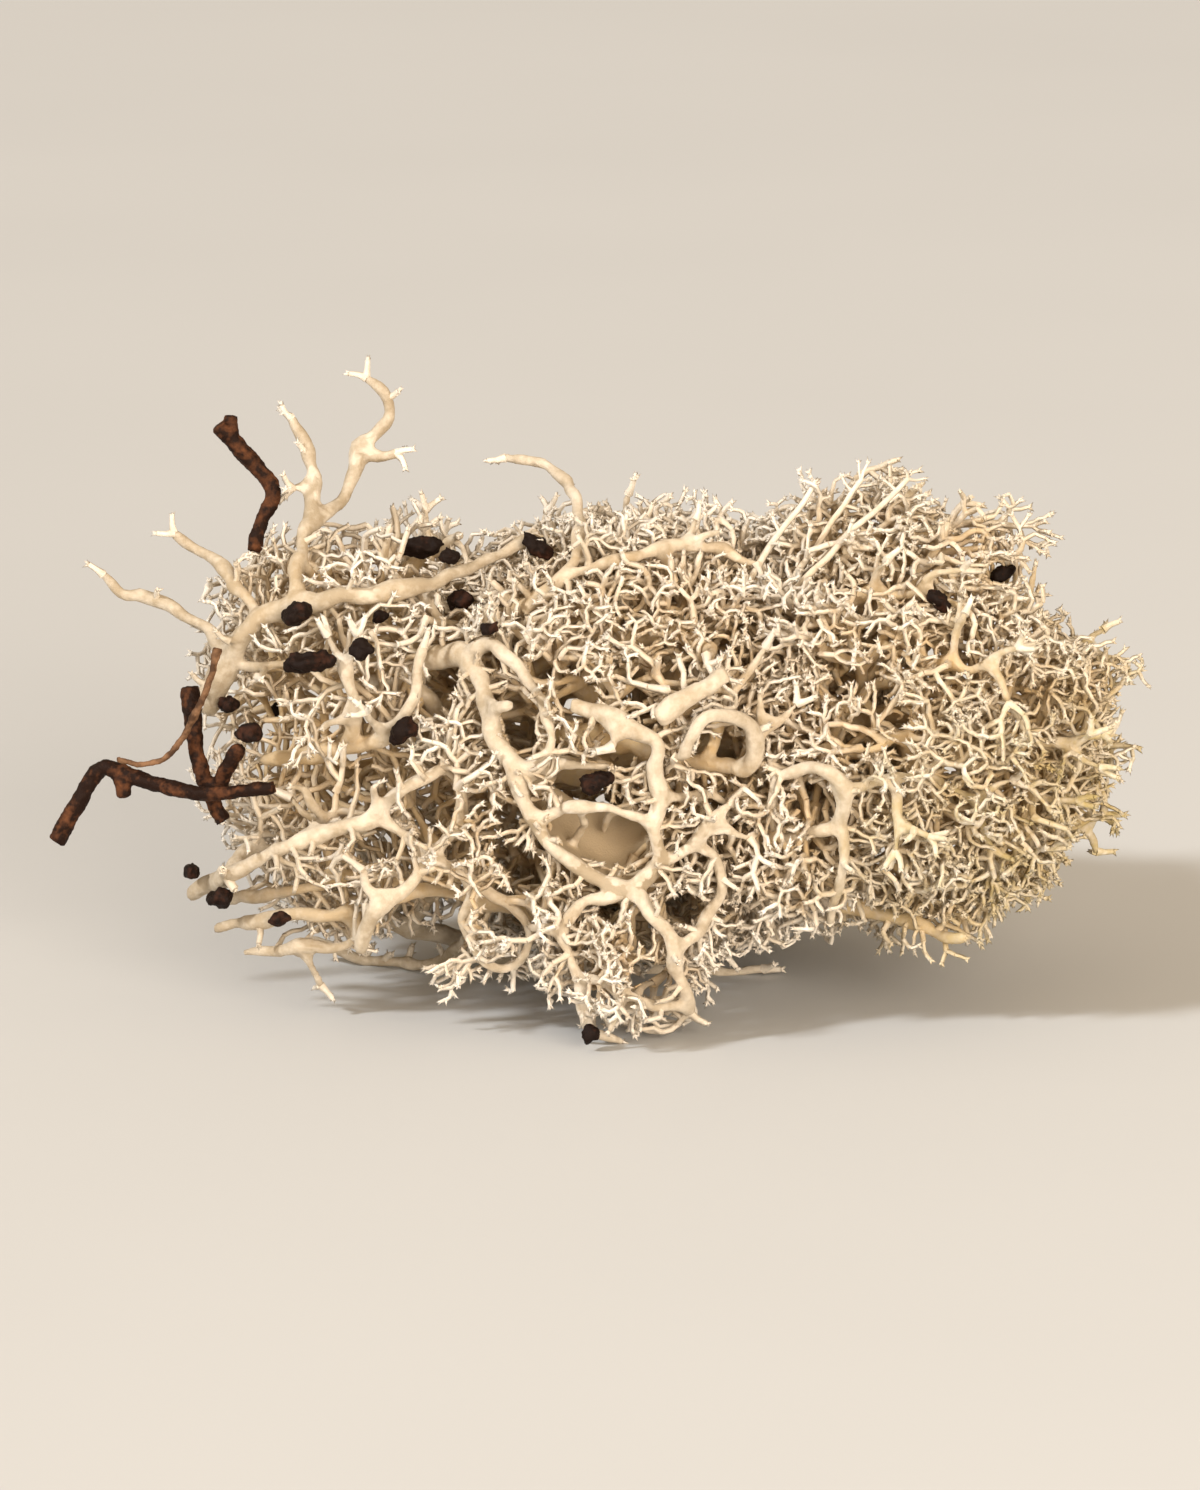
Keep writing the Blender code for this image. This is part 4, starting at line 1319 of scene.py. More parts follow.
def set_colouring(mesh: Mesh, places: list[Vector], ages: list[float],
                  browned: float = 1.0) -> None:
    """Store the age, the depth brown and the olive of each vertex, the last two partly painted
    shade.

    Args:
        mesh: the mesh.
        places: where each vertex stands, in the growth's millimetres.
        ages: each vertex's age.
        browned: share of the depth brown, with its painted shade, that shows.
    """
    tints = Tints()
    set_values(mesh, AGE, ages)
    # Painted shade in part: browner deeper in the clump, and olive low on the right.
    set_values(mesh, DEEP, [browned * tints.browning(place) for place in places])
    set_values(mesh, OLIVE_AND_SHADE, [tints.olive(place) for place in places])


def linked(name: str, data: bpy.types.ID) -> Item:
    """Link a mesh, curve, light or camera as a new object.

    Args:
        name: the object's name.
        data: what it shows.

    Returns:
        The object.
    """
    holder = bpy.data.objects.new(name, data)
    bpy.context.scene.collection.objects.link(holder)
    return holder


def evaluated_mesh(holder: Item) -> Mesh:
    """The mesh that an object's modifiers give."""
    graph = bpy.context.evaluated_depsgraph_get()
    return bpy.data.meshes.new_from_object(holder.evaluated_get(graph))


def discard(holder: Item) -> None:
    """Remove an object and its mesh.

    Args:
        holder: the object.
    """
    mesh = holder.data
    bpy.data.objects.remove(holder)
    bpy.data.meshes.remove(mesh)


def even_surface(mesh: Mesh, voxel: float, smoothing: int) -> Mesh:
    """Draw one even surface round closed shapes, and soften it.

    Args:
        mesh: the shapes, which are removed.
        voxel: size of the surface's cells, in millimetres.
        smoothing: how many times it is softened.

    Returns:
        The surface.
    """
    holder = linked(mesh.name + "_rough", mesh)
    remesh = holder.modifiers.new("Even surface", "REMESH")
    remesh.mode = "VOXEL"
    remesh.voxel_size = voxel * MM
    soften = holder.modifiers.new("Soft edges", "SMOOTH")
    soften.iterations = smoothing
    even = evaluated_mesh(holder)
    discard(holder)
    return even


def lines_mesh(name: str, lines: list[Line]) -> Mesh:
    """A mesh of loose edges that carries each line's radius and colouring.

    Args:
        name: the mesh's name.
        lines: the branches, in millimetres.

    Returns:
        The mesh, in metres, with a value of each attribute per vertex.
    """
    places, edges = [], []
    for line in lines:
        first = len(places)
        places += line.places
        edges += [(n, n + 1) for n in range(first, len(places) - 1)]
    mesh = bpy.data.meshes.new(name)
    mesh.from_pydata([tuple(in_frame(place)) for place in places], edges, [])
    set_values(mesh, THICKNESS, [radius * MM for line in lines for radius in line.radii])
    set_colouring(mesh, places, [age for line in lines for age in line.ages])
    set_values(mesh, GRADE, [float(line.grade) for line in lines for _ in line.places])
    return mesh


@dataclass
class NodeMaker:
    """Adds nodes to a tree and links them in one call."""

    tree: bpy.types.NodeTree

    def add(self, kind: str, sets: dict | None = None, **links: Socket | Node) -> Node:
        """Add a node.

        Args:
            kind: the node's type name.
            sets: properties and unlinked input values, by name.
            links: what to join to inputs, where a node stands for its first
                output and underscores for the spaces in names.

        Returns:
            The new node.
        """
        node = self.tree.nodes.new(kind)
        for key, value in (sets or {}).items():
            if key in node.inputs:
                node.inputs[key].default_value = value
            else:
                setattr(node, key, value)
        for key, source in links.items():
            socket = source.outputs[0] if isinstance(source, Node) else source
            self.tree.links.new(socket, node.inputs[key.replace("_", " ")])
        return node

    def give(self, inputs: list[Socket], *values: Value) -> None:
        """Give each input its value, which is a socket or a plain value.

        Args:
            inputs: the inputs.
            values: what each of them gets.
        """
        for socket, value in zip(inputs, values):
            if isinstance(value, Socket):
                self.tree.links.new(value, socket)
            else:
                socket.default_value = value

    def finish(self, shader: Node, *values: Value) -> None:
        """Give a shader its colour, roughness and specular level, or the first of them."""
        names = ("Base Color", "Roughness", "Specular IOR Level")
        self.give([shader.inputs[name] for name in names], *values)

    def math(self, operation: str, first: Value, second: Value) -> Socket:
        """Add a Math node.

        Args:
            operation: what it works out.
            first: the first operand.
            second: the second operand.

        Returns:
            The result.
        """
        node = self.add("ShaderNodeMath", {"operation": operation})
        self.give(node.inputs, first, second)
        return node.outputs[0]

    def noise(self, coords: Socket, cell: float, detail: float, rough: float = 0.55) -> Socket:
        """Add noise whose largest features are about a given size.

        Args:
            coords: Object coordinates.
            cell: feature size in millimetres.
            detail: number of finer layers.
            rough: strength of the finer layers.

        Returns:
            The noise value.
        """
        return self.add("ShaderNodeTexNoise", {"Scale": 1.0 / (cell * MM),
                                               "Detail": detail, "Roughness": rough},
                        Vector=coords).outputs["Fac"]

    def spread(self, value: Socket, low: float, high: float) -> Socket:
        """Stretch a value so that low becomes 0 and high becomes 1."""
        return self.add("ShaderNodeMapRange", {"From Min": low, "From Max": high},
                        Value=value).outputs[0]

    def blend(self, share: Socket, first: Value, second: Value) -> Socket:
        """Mix two colours.

        Args:
            share: how much of the second shows.
            first: the first colour, or its socket.
            second: the second colour, or its socket.

        Returns:
            The mixed colour.
        """
        # The node's inputs 6 and 7 and its output 2 are colours.
        node = self.add("ShaderNodeMix", {"data_type": "RGBA"})
        ends = [end if isinstance(end, Socket) else (*end, 1.0) for end in (first, second)]
        self.give((node.inputs[0], *node.inputs[6:8]), share, *ends)
        return node.outputs[2]

    def attribute(self, name: str, kind: str = "FLOAT") -> Socket:
        """A named attribute of the geometry."""
        return self.add("GeometryNodeInputNamedAttribute",
                        {"data_type": kind, "Name": name}).outputs[0]

    def random(self, low: Value, high: Value, seed: int) -> Socket:
        """Add a source of random numbers.

        Args:
            low: the least number.
            high: the largest number.
            seed: the seed.

        Returns:
            A number for each element.
        """
        # The node's inputs 2 and 3 and its output 1 are plain numbers.
        node = self.add("FunctionNodeRandomValue", {"data_type": "FLOAT", "Seed": seed})
        self.give(node.inputs[2:4], low, high)
        return node.outputs[1]

    def turned(self, rotation: Socket | Node, turn: Node) -> Node:
        """A rotation turned further, about its own axes."""
        return self.add("FunctionNodeRotateRotation", {"rotation_space": "LOCAL"},
                        Rotation=rotation, Rotate_By=turn)


@dataclass(frozen=True)
class BranchSizes:
    """Inputs of the branch tree: tubes of three grades, and spikes at the tips."""

    stout_sides: int = 5
    stout_steps: int = 2
    slender_sides: int = 4
    slender_steps: int = 1
    fine_sides: int = 3
    fine_steps: int = 1
    spike_sides: int = 3
    shortest_spike: float = 0.24 * MM
    longest_spike: float = 0.48 * MM
    least_lean: float = math.radians(12.0)
    most_lean: float = math.radians(58.0)
    blunt: float = 0.0

    def inputs(self) -> dict[str, int | float]:
        """The sizes, by the names of the tree's inputs."""
        return {key.replace("_", " ").capitalize(): value for key, value in asdict(self).items()}


@dataclass
class BranchTree:
    """The geometry nodes that turn lines into tubes and tips into spikes.

    Attributes:
        sizes: the sizes that its inputs get.
        twirl: how far a spike strays from its even place round a tip.
        seeds: for the spikes' places, lean and length.
        sockets: identifier of each named input.
        tree: the tree.
        make: adds its nodes.
        given: the sockets of its inputs.
    """

    sizes: BranchSizes = BranchSizes()
    twirl: float = 0.7
    seeds: tuple[int, int, int] = (5, 9, 14)
    sockets: dict[str, str] = field(default_factory=dict)
    tree: bpy.types.NodeTree = field(init=False)
    make: NodeMaker = field(init=False)
    given: bpy.types.NodeOutputs = field(init=False)

    def build(self) -> None:
        """Make the tree once, with its named inputs."""
        self.tree = bpy.data.node_groups.new("lichen_branches", "GeometryNodeTree")
        self.make = make = NodeMaker(self.tree)
        face = self.tree.interface
        face.new_socket("Geometry", in_out="OUTPUT", socket_type="NodeSocketGeometry")
        kinds = {"Geometry": "Geometry", "Skin": "Object", "Tips": "Object"}
        for name, size in self.sizes.inputs().items():
            kinds[name] = "Int" if isinstance(size, int) else "Float"
        kinds["Finish"] = "Material"
        for name, kind in kinds.items():
            socket = face.new_socket(name, in_out="INPUT", socket_type="NodeSocket" + kind)
            self.sockets[name] = socket.identifier
        self.given = given = make.add("NodeGroupInput").outputs
        parts = [self._spikes()]
        for number, word in enumerate(("Stout", "Slender", "Fine")):
            parts.append(self._tubes(number, word))
        parts.append(make.add("GeometryNodeObjectInfo", Object=given["Skin"]).outputs["Geometry"])
        joined = make.add("GeometryNodeJoinGeometry")
        for part in parts:
            smooth = make.add("GeometryNodeSetShadeSmooth", Geometry=part)
            self.tree.links.new(smooth.outputs[0], joined.inputs[0])
        real = make.add("GeometryNodeRealizeInstances", Geometry=joined)
        dressed = make.add("GeometryNodeSetMaterial", Geometry=real,
                           Material=given["Finish"])
        make.add("NodeGroupOutput", Geometry=dressed)

    def _tubes(self, number: int, word: str) -> Socket:
        """Lay tubes along the lines of one grade.

        Args:
            number: the grade.
            word: what the grade's inputs are called.

        Returns:
            The tubes.
        """
        make, given = self.make, self.given
        chosen = make.math("COMPARE", make.attribute(GRADE), float(number))
        curve = make.add("GeometryNodeMeshToCurve", Mesh=given["Geometry"], Selection=chosen)
        spline = make.add("GeometryNodeCurveSplineType", {"spline_type": "CATMULL_ROM"},
                          Curve=curve)
        stepped = make.add("GeometryNodeSetSplineResolution", Geometry=spline,
                           Resolution=given[word + " steps"])
        ring = make.add("GeometryNodeCurvePrimitiveCircle", {"Radius": 1.0},
                        Resolution=given[word + " sides"])
        tube = make.add("GeometryNodeCurveToMesh", {"Fill Caps": True},
                        Curve=stepped, Profile_Curve=ring.outputs["Curve"],
                        Scale=make.attribute(THICKNESS))
        return tube.outputs[0]

    def _spikes(self) -> Socket:
        """Spread short spikes round every tip.

        Returns:
            The spikes.
        """
        make, given = self.make, self.given
        about_seed, lean_seed, length_seed = self.seeds
        tips = make.add("GeometryNodeObjectInfo", Object=given["Tips"])
        points = make.add("GeometryNodeMeshToPoints", Mesh=tips.outputs["Geometry"])
        count = make.attribute(COUNT, "INT")
        copies = make.add("GeometryNodeDuplicateElements", {"domain": "POINT"},
                          Geometry=points, Amount=count)
        turn = make.math("DIVIDE", copies.outputs["Duplicate Index"], count)
        turn = make.math("ADD", make.math("MULTIPLY", turn, math.tau),
                         make.random(-self.twirl, self.twirl, about_seed))
        facing = make.add("FunctionNodeAlignRotationToVector", {"axis": "Z"},
                          Vector=make.attribute(HEADING, "FLOAT_VECTOR"))
        about = make.add("FunctionNodeAxisAngleToRotation", Angle=turn)
        lean = make.random(given["Least lean"], given["Most lean"], lean_seed)
        tilt = make.add("FunctionNodeAxisAngleToRotation", {"Axis": (1.0, 0.0, 0.0)}, Angle=lean)
        leaned = make.turned(make.turned(facing, about), tilt)
        cone = make.add("GeometryNodeMeshCone",
                        {"Side Segments": 1, "Radius Bottom": 1.0, "Depth": 1.0},
                        Radius_Top=given["Blunt"], Vertices=given["Spike sides"])
        cone = make.add("GeometryNodeSetShadeSmooth", Geometry=cone)
        thick = make.attribute(THICKNESS)
        length = make.random(given["Shortest spike"], given["Longest spike"], length_seed)
        size = make.add("ShaderNodeCombineXYZ", X=thick, Y=thick, Z=length)
        placed = make.add("GeometryNodeInstanceOnPoints", Points=copies,
                          Instance=cone, Rotation=leaned,
                          Scale=size)
        return placed.outputs[0]

    def apply(self, name: str, lines: Mesh, skin: Mesh, tips: Mesh, finish: Material) -> Mesh:
        """Build one podetium's plain mesh.

        Args:
            name: the new mesh's name.
            lines: its fine branches.
            skin: the surface of its stems and first shoots.
            tips: a loose vertex at each tip.
            finish: its material.

        Returns:
            The joined mesh.
        """
        holder = linked(name + "_lines", lines)
        skin_holder = linked(name + "_skin", skin)
        tip_holder = linked(name + "_tips", tips)
        modifier = holder.modifiers.new("Branches", "NODES")
        modifier.node_group = self.tree
        values = {"Skin": skin_holder, "Tips": tip_holder, **self.sizes.inputs(), "Finish": finish}
        for key, value in values.items():
            modifier[self.sockets[key]] = value
        mesh = evaluated_mesh(holder)
        mesh.name = name
        for used in (holder, skin_holder, tip_holder):
            discard(used)
        return mesh


@dataclass(frozen=True)
class SkinSizes:
    """How a surface is drawn round thick branches, in millimetres."""

    voxel: float = 0.17
    smoothing: int = 3
    faces_per_mm: float = 64.0


@dataclass
class BranchSkin:
    """One closed surface round a piece's stems and first shoots."""

    name: str
    lines: list[Line]
    # Share of the depth brown, partly painted shade, that shows on the skin.
    browned: float = 1.0
    sizes: SkinSizes = SkinSizes()

    def tubes(self) -> Mesh:
        """Lay tubes along the lines, with flat ends.

        Returns:
            Their mesh.
        """
        curve = bpy.data.curves.new(self.name, "CURVE")
        curve.dimensions = "3D"
        curve.bevel_depth = MM
        curve.bevel_resolution = 2
        curve.use_fill_caps = True
        for line in self.lines:
            spline = curve.splines.new("POLY")
            spline.points.add(len(line.places) - 1)
            for point, place, radius in zip(spline.points, line.places, line.radii):
                point.co = (*in_frame(place), 1.0)
                point.radius = radius
        holder = linked(self.name, curve)
        mesh = evaluated_mesh(holder)
        bpy.data.objects.remove(holder)
        bpy.data.curves.remove(curve)
        return mesh

    def build(self) -> Mesh:
        """Merge the tubes into one rounded surface, and colour it.

        Returns:
            The mesh, with a value of each attribute per vertex.
        """
        sizes = self.sizes
        merged = even_surface(self.tubes(), sizes.voxel, sizes.smoothing)
        holder = linked(self.name + "_merged", merged)
        length = sum((a - b).length for line in self.lines
                     for a, b in zip(line.places, line.places[1:]))
        thin = holder.modifiers.new("Fewer faces", "DECIMATE")
        thin.ratio = min(1.0, sizes.faces_per_mm * length / (2 * len(merged.polygons)))
        skin = evaluated_mesh(holder)
        discard(holder)
        beads = [bead for line in self.lines for bead in zip(line.places, line.ages)]
        tree = finder([in_frame(place) for place, _ in beads])
        nearest = [beads[tree.find(vertex.co)[1]] for vertex in skin.vertices]
        set_colouring(skin, [place for place, _ in nearest],
                      [age for _, age in nearest], self.browned)
        return skin


# ---- Finishes ----

def new_material(name: str) -> tuple[Material, NodeMaker, Node]:
    """Start a material.

    Args:
        name: its name.

    Returns:
        The material, the maker of its nodes and its shader.
    """
    material = bpy.data.materials.new(name)
    material.use_nodes = True
    return material, NodeMaker(material.node_tree), material.node_tree.nodes["Principled BSDF"]


@dataclass
class FeltGroup:
    """Shader group for a matt surface of fine matted threads.

    Attributes:
        broad: its broad mottling: size in millimetres, share and finer layers.
        small: the same for its small mottling.
        threads: the same for its threads, and how rough they are.
        lumps: the same for its lumps.
        tree: the group.
    """

    broad: tuple[float, ...] = (1.9, 0.6, 3.0)
    small: tuple[float, ...] = (0.42, 0.4, 2.0)
    threads: tuple[float, ...] = (0.11, 0.5, 3.0, 0.7)
    lumps: tuple[float, ...] = (0.5, 0.5, 2.0)
    tree: bpy.types.NodeTree = field(init=False)

    def build(self) -> None:
        """Make the group: cell size in, mottling and height out."""
        self.tree = bpy.data.node_groups.new("felted_surface", "ShaderNodeTree")
        face = self.tree.interface
        grain = face.new_socket("Grain", in_out="INPUT", socket_type="NodeSocketFloat")
        grain.default_value = 1.0
        for name in ("Mottle", "Height"):
            face.new_socket(name, in_out="OUTPUT", socket_type="NodeSocketFloat")
        make = NodeMaker(self.tree)
        given = make.add("NodeGroupInput").outputs
        coords = make.add("ShaderNodeTexCoord").outputs["Object"]
        scaled = make.add("ShaderNodeVectorMath", {"operation": "SCALE"},
                          Vector=coords, Scale=given["Grain"]).outputs[0]
        parts = []
        for cell, share, *layers in (self.broad, self.small, self.threads, self.lumps):
            value = make.noise(scaled, cell, *layers)
            parts.append(make.math("MULTIPLY", value, share))
        make.add("NodeGroupOutput", Mottle=make.math("ADD", *parts[:2]),
                 Height=make.math("ADD", *parts[2:]))

    def place(self, make: NodeMaker, shader: Node, bump: float) -> Socket:
        """Raise the threads on a material.

        Args:
            make: the maker of the material's nodes.
            shader: its shader.
            bump: the threads' height.

        Returns:
            The mottling.
        """
        group = make.add("ShaderNodeGroup", {"node_tree": self.tree})
        raised = make.add("ShaderNodeBump", {"Strength": 1.0, "Distance": bump},
                          Height=group.outputs["Height"])
        make.tree.links.new(raised.outputs[0], shader.inputs["Normal"])
        return group.outputs["Mottle"]


@dataclass(frozen=True)
class LichenFinish:
    """Dry lichen: pale young branches, browner with age and depth; the brown with depth and the
    olive are partly painted shade.
    """

    young: Colour = (0.835, 0.79, 0.72)
    grown: Colour = (0.60, 0.53, 0.43)
    old: Colour = (0.375, 0.305, 0.215)
    # Brown deep between the heads: partly old branches' own colour, partly painted shade.
    inner: Colour = (0.55, 0.395, 0.21)
    # Olive low on the right crown: partly its own tint, partly painted shade.
    olive: Colour = (0.46, 0.37, 0.17)
    roughness: float = 0.86
    specular: float = 0.25
    bump: float = 0.10 * MM
    mottled: float = 0.4
    mottle_range: Span = (0.36, 0.64)
    grown_range: Span = (0.15, 0.75)
    old_range: Span = (0.85, 1.25)
    olive_range: Span = (-0.2, 1.0)
    inner_range: Span = (-1.2, 1.0)

    def make(self, felt: FeltGroup) -> Material:
        """Build the material.

        Args:
            felt: the shared felt group.

        Returns:
            The material.
        """
        material, make, shader = new_material("dry_lichen")
        mottle = felt.place(make, shader, self.bump)
        mottle = make.spread(mottle, *self.mottle_range)
        age, deep, olive = (
            make.add("ShaderNodeAttribute", {"attribute_name": name}).outputs["Fac"]
            for name in (AGE, DEEP, OLIVE_AND_SHADE))
        aged = make.math("ADD", age, make.math("MULTIPLY", mottle, self.mottled))
        grown = make.spread(aged, *self.grown_range)
        colour = make.blend(grown, self.young, self.grown)
        colour = make.blend(make.spread(aged, *self.old_range), colour, self.old)
        # Painted shade in part: olive mixed in low on the right.
        olive_and_shade_mix = make.math("MULTIPLY", olive, make.spread(mottle, *self.olive_range))
        colour = make.blend(olive_and_shade_mix, colour, self.olive)
        # Painted shade in part: brown mixed in deep between the heads.
        brown = make.math("MULTIPLY", deep, make.spread(mottle, *self.inner_range))
        colour = make.blend(brown, colour, self.inner)
        make.finish(shader, colour, self.roughness, self.specular)
        return material


@dataclass(frozen=True)
class BarkFinish:
    """Dark dead heather bark: near black, with red-brown scuffs."""

    name: str = "dark_bark"
    dark: Colour = (0.014, 0.0055, 0.003)
    scuffed: Colour = (0.112, 0.043, 0.019)
    scuff_from: float = 0.49
    roughness: Span = (0.55, 0.85)
    bump: float = 0.09 * MM
    specular: float = 0.10
    scuff_edge: float = 0.16

    def make(self, felt: FeltGroup) -> Material:
        """Build the material.

        Args:
            felt: the shared felt group.

        Returns:
            The material.
        """
        material, make, shader = new_material(self.name)
        worn = make.spread(felt.place(make, shader, self.bump), self.scuff_from,
                          self.scuff_from + self.scuff_edge)
        colour = make.blend(worn, self.dark, self.scuffed)
        rough = make.add("ShaderNodeMapRange",
                         {"To Min": self.roughness[0], "To Max": self.roughness[1]},
                         Value=worn)
        make.finish(shader, colour, rough.outputs[0], self.specular)
        return material


TWIG_BARK = BarkFinish()
ROOT_BARK = BarkFinish("brown_rootlet", (0.06, 0.03, 0.016), (0.22, 0.12, 0.065), 0.42)
CRUMB_BARK = BarkFinish("black_crumb", (0.010, 0.005, 0.0035), (0.05, 0.02, 0.012), 0.52)


# ---- Pieces ----

def place_piece(name: str, mesh: Mesh, finish: Material, node: str) -> Item:
    """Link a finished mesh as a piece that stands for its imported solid.

    Args:
        name: the piece's name.
        mesh: its mesh, with its place in its vertices.
        finish: its material.
        node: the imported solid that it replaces.

    Returns:
        The piece.
    """
    mesh.materials.clear()
    mesh.materials.append(finish)
    piece = linked(name, mesh)
    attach(piece, ROOT)
    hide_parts(node)
    LOG.info("%s: %d faces", name, len(mesh.polygons))
    return piece


def rest_on_table(mesh: Mesh) -> None:
    """Press flat against the table whatever would dip below it.

    Args:
        mesh: the piece's mesh.
    """
    places = np.empty(len(mesh.vertices) * 3, np.float32)
    mesh.vertices.foreach_get("co", places)
    places[2::3] = np.maximum(places[2::3], 0.0)
    mesh.vertices.foreach_set("co", places)
    mesh.update()


def resampled(line: Line, step: float) -> Line:
    """A smooth line through a line's points, with its sizes carried over.

    Args:
        line: the line.
        step: about how far apart the new points are, in millimetres.

    Returns:
        The smooth line.
    """
    places = catmull(line.places, step)
    radii, ages = [], []
    for index, (a, b) in enumerate(zip(line.places, line.places[1:])):
        count = max(1, round((b - a).length / step))
        for part in range(count):
            share = part / count
            radii.append(line.radii[index] * (1 - share) + line.radii[index + 1] * share)
            ages.append(line.ages[index] * (1 - share) + line.ages[index + 1] * share)
    return Line(places, [*radii, line.radii[-1]], [*ages, line.ages[-1]])


@dataclass(frozen=True)
class StemShape:
    """How real stems differ from even tubes, in millimetres."""

    step: float = 0.38
    slimness: float = 0.80
    uneven: float = 0.34
    uneven_cell: float = 2.0
    lumps: float = 0.26
    lump_cell: float = 0.7
    end_length: float = 2.2
    end_share: float = 0.72
    bare_stoutness: float = 1.12
    web_slimness: float = 0.88
    bare_age: float = 0.95
    least_age: float = 0.82
    fork_swell: float = 1.22
    web_reach: float = 2.3
    web_radius: float = 0.52
    web_angle: float = math.radians(125.0)
    round_reach: float = 0.6
    round_radius: float = 0.5


@dataclass(frozen=True)
class Membrane:
    """A thin curved skin from a rim of stems to a throat behind them.

    Lengths are in millimetres.
    """

    rim: Stem
    throat: Stem
    sag: Point
    step: float = 0.26
    radius: float = 0.34
    # Past the oldest stems: the skin takes the full old brown, partly its own colour and partly
    # painted shade of the hollow behind the rim.
    age: float = 1.25

    def lines(self) -> list[Line]:
        """Lay close lines from the rim to the throat, which fuse into the skin.

        Returns:
            The lines.
        """
        rim = catmull(self.rim, self.step)
        made = []
        for index, start in enumerate(rim):
            share = index / (len(rim) - 1) * (len(self.throat) - 1)
            first = min(int(share), len(self.throat) - 2)
            low, high = (Vector(self.throat[n]) for n in (first, first + 1))
            end = low.lerp(high, share - first)
            middle = start.lerp(end, 0.5) + Vector(self.sag)
            made.append(resampled(Line([start, middle, end], [self.radius] * 3,
                                       [self.age] * 3), self.step))
        return made


MEMBRANES = {
    "front_web_podetium": Membrane(
        ((-3.9, -13.2, 14), (-3.4, -13.4, 12.5), (-1.8, -13.8, 10.5), (1.8, -14.2, 8.6),
         (3.7, -13.9, 10), (3.5, -14.1, 11.4)),
        ((-3.4, -9.6, 14.2), (-1.2, -9.2, 12.6), (1.2, -9.2, 11.8), (2.8, -10, 12.2)),
        (0, 0.9, -0.9)),
}


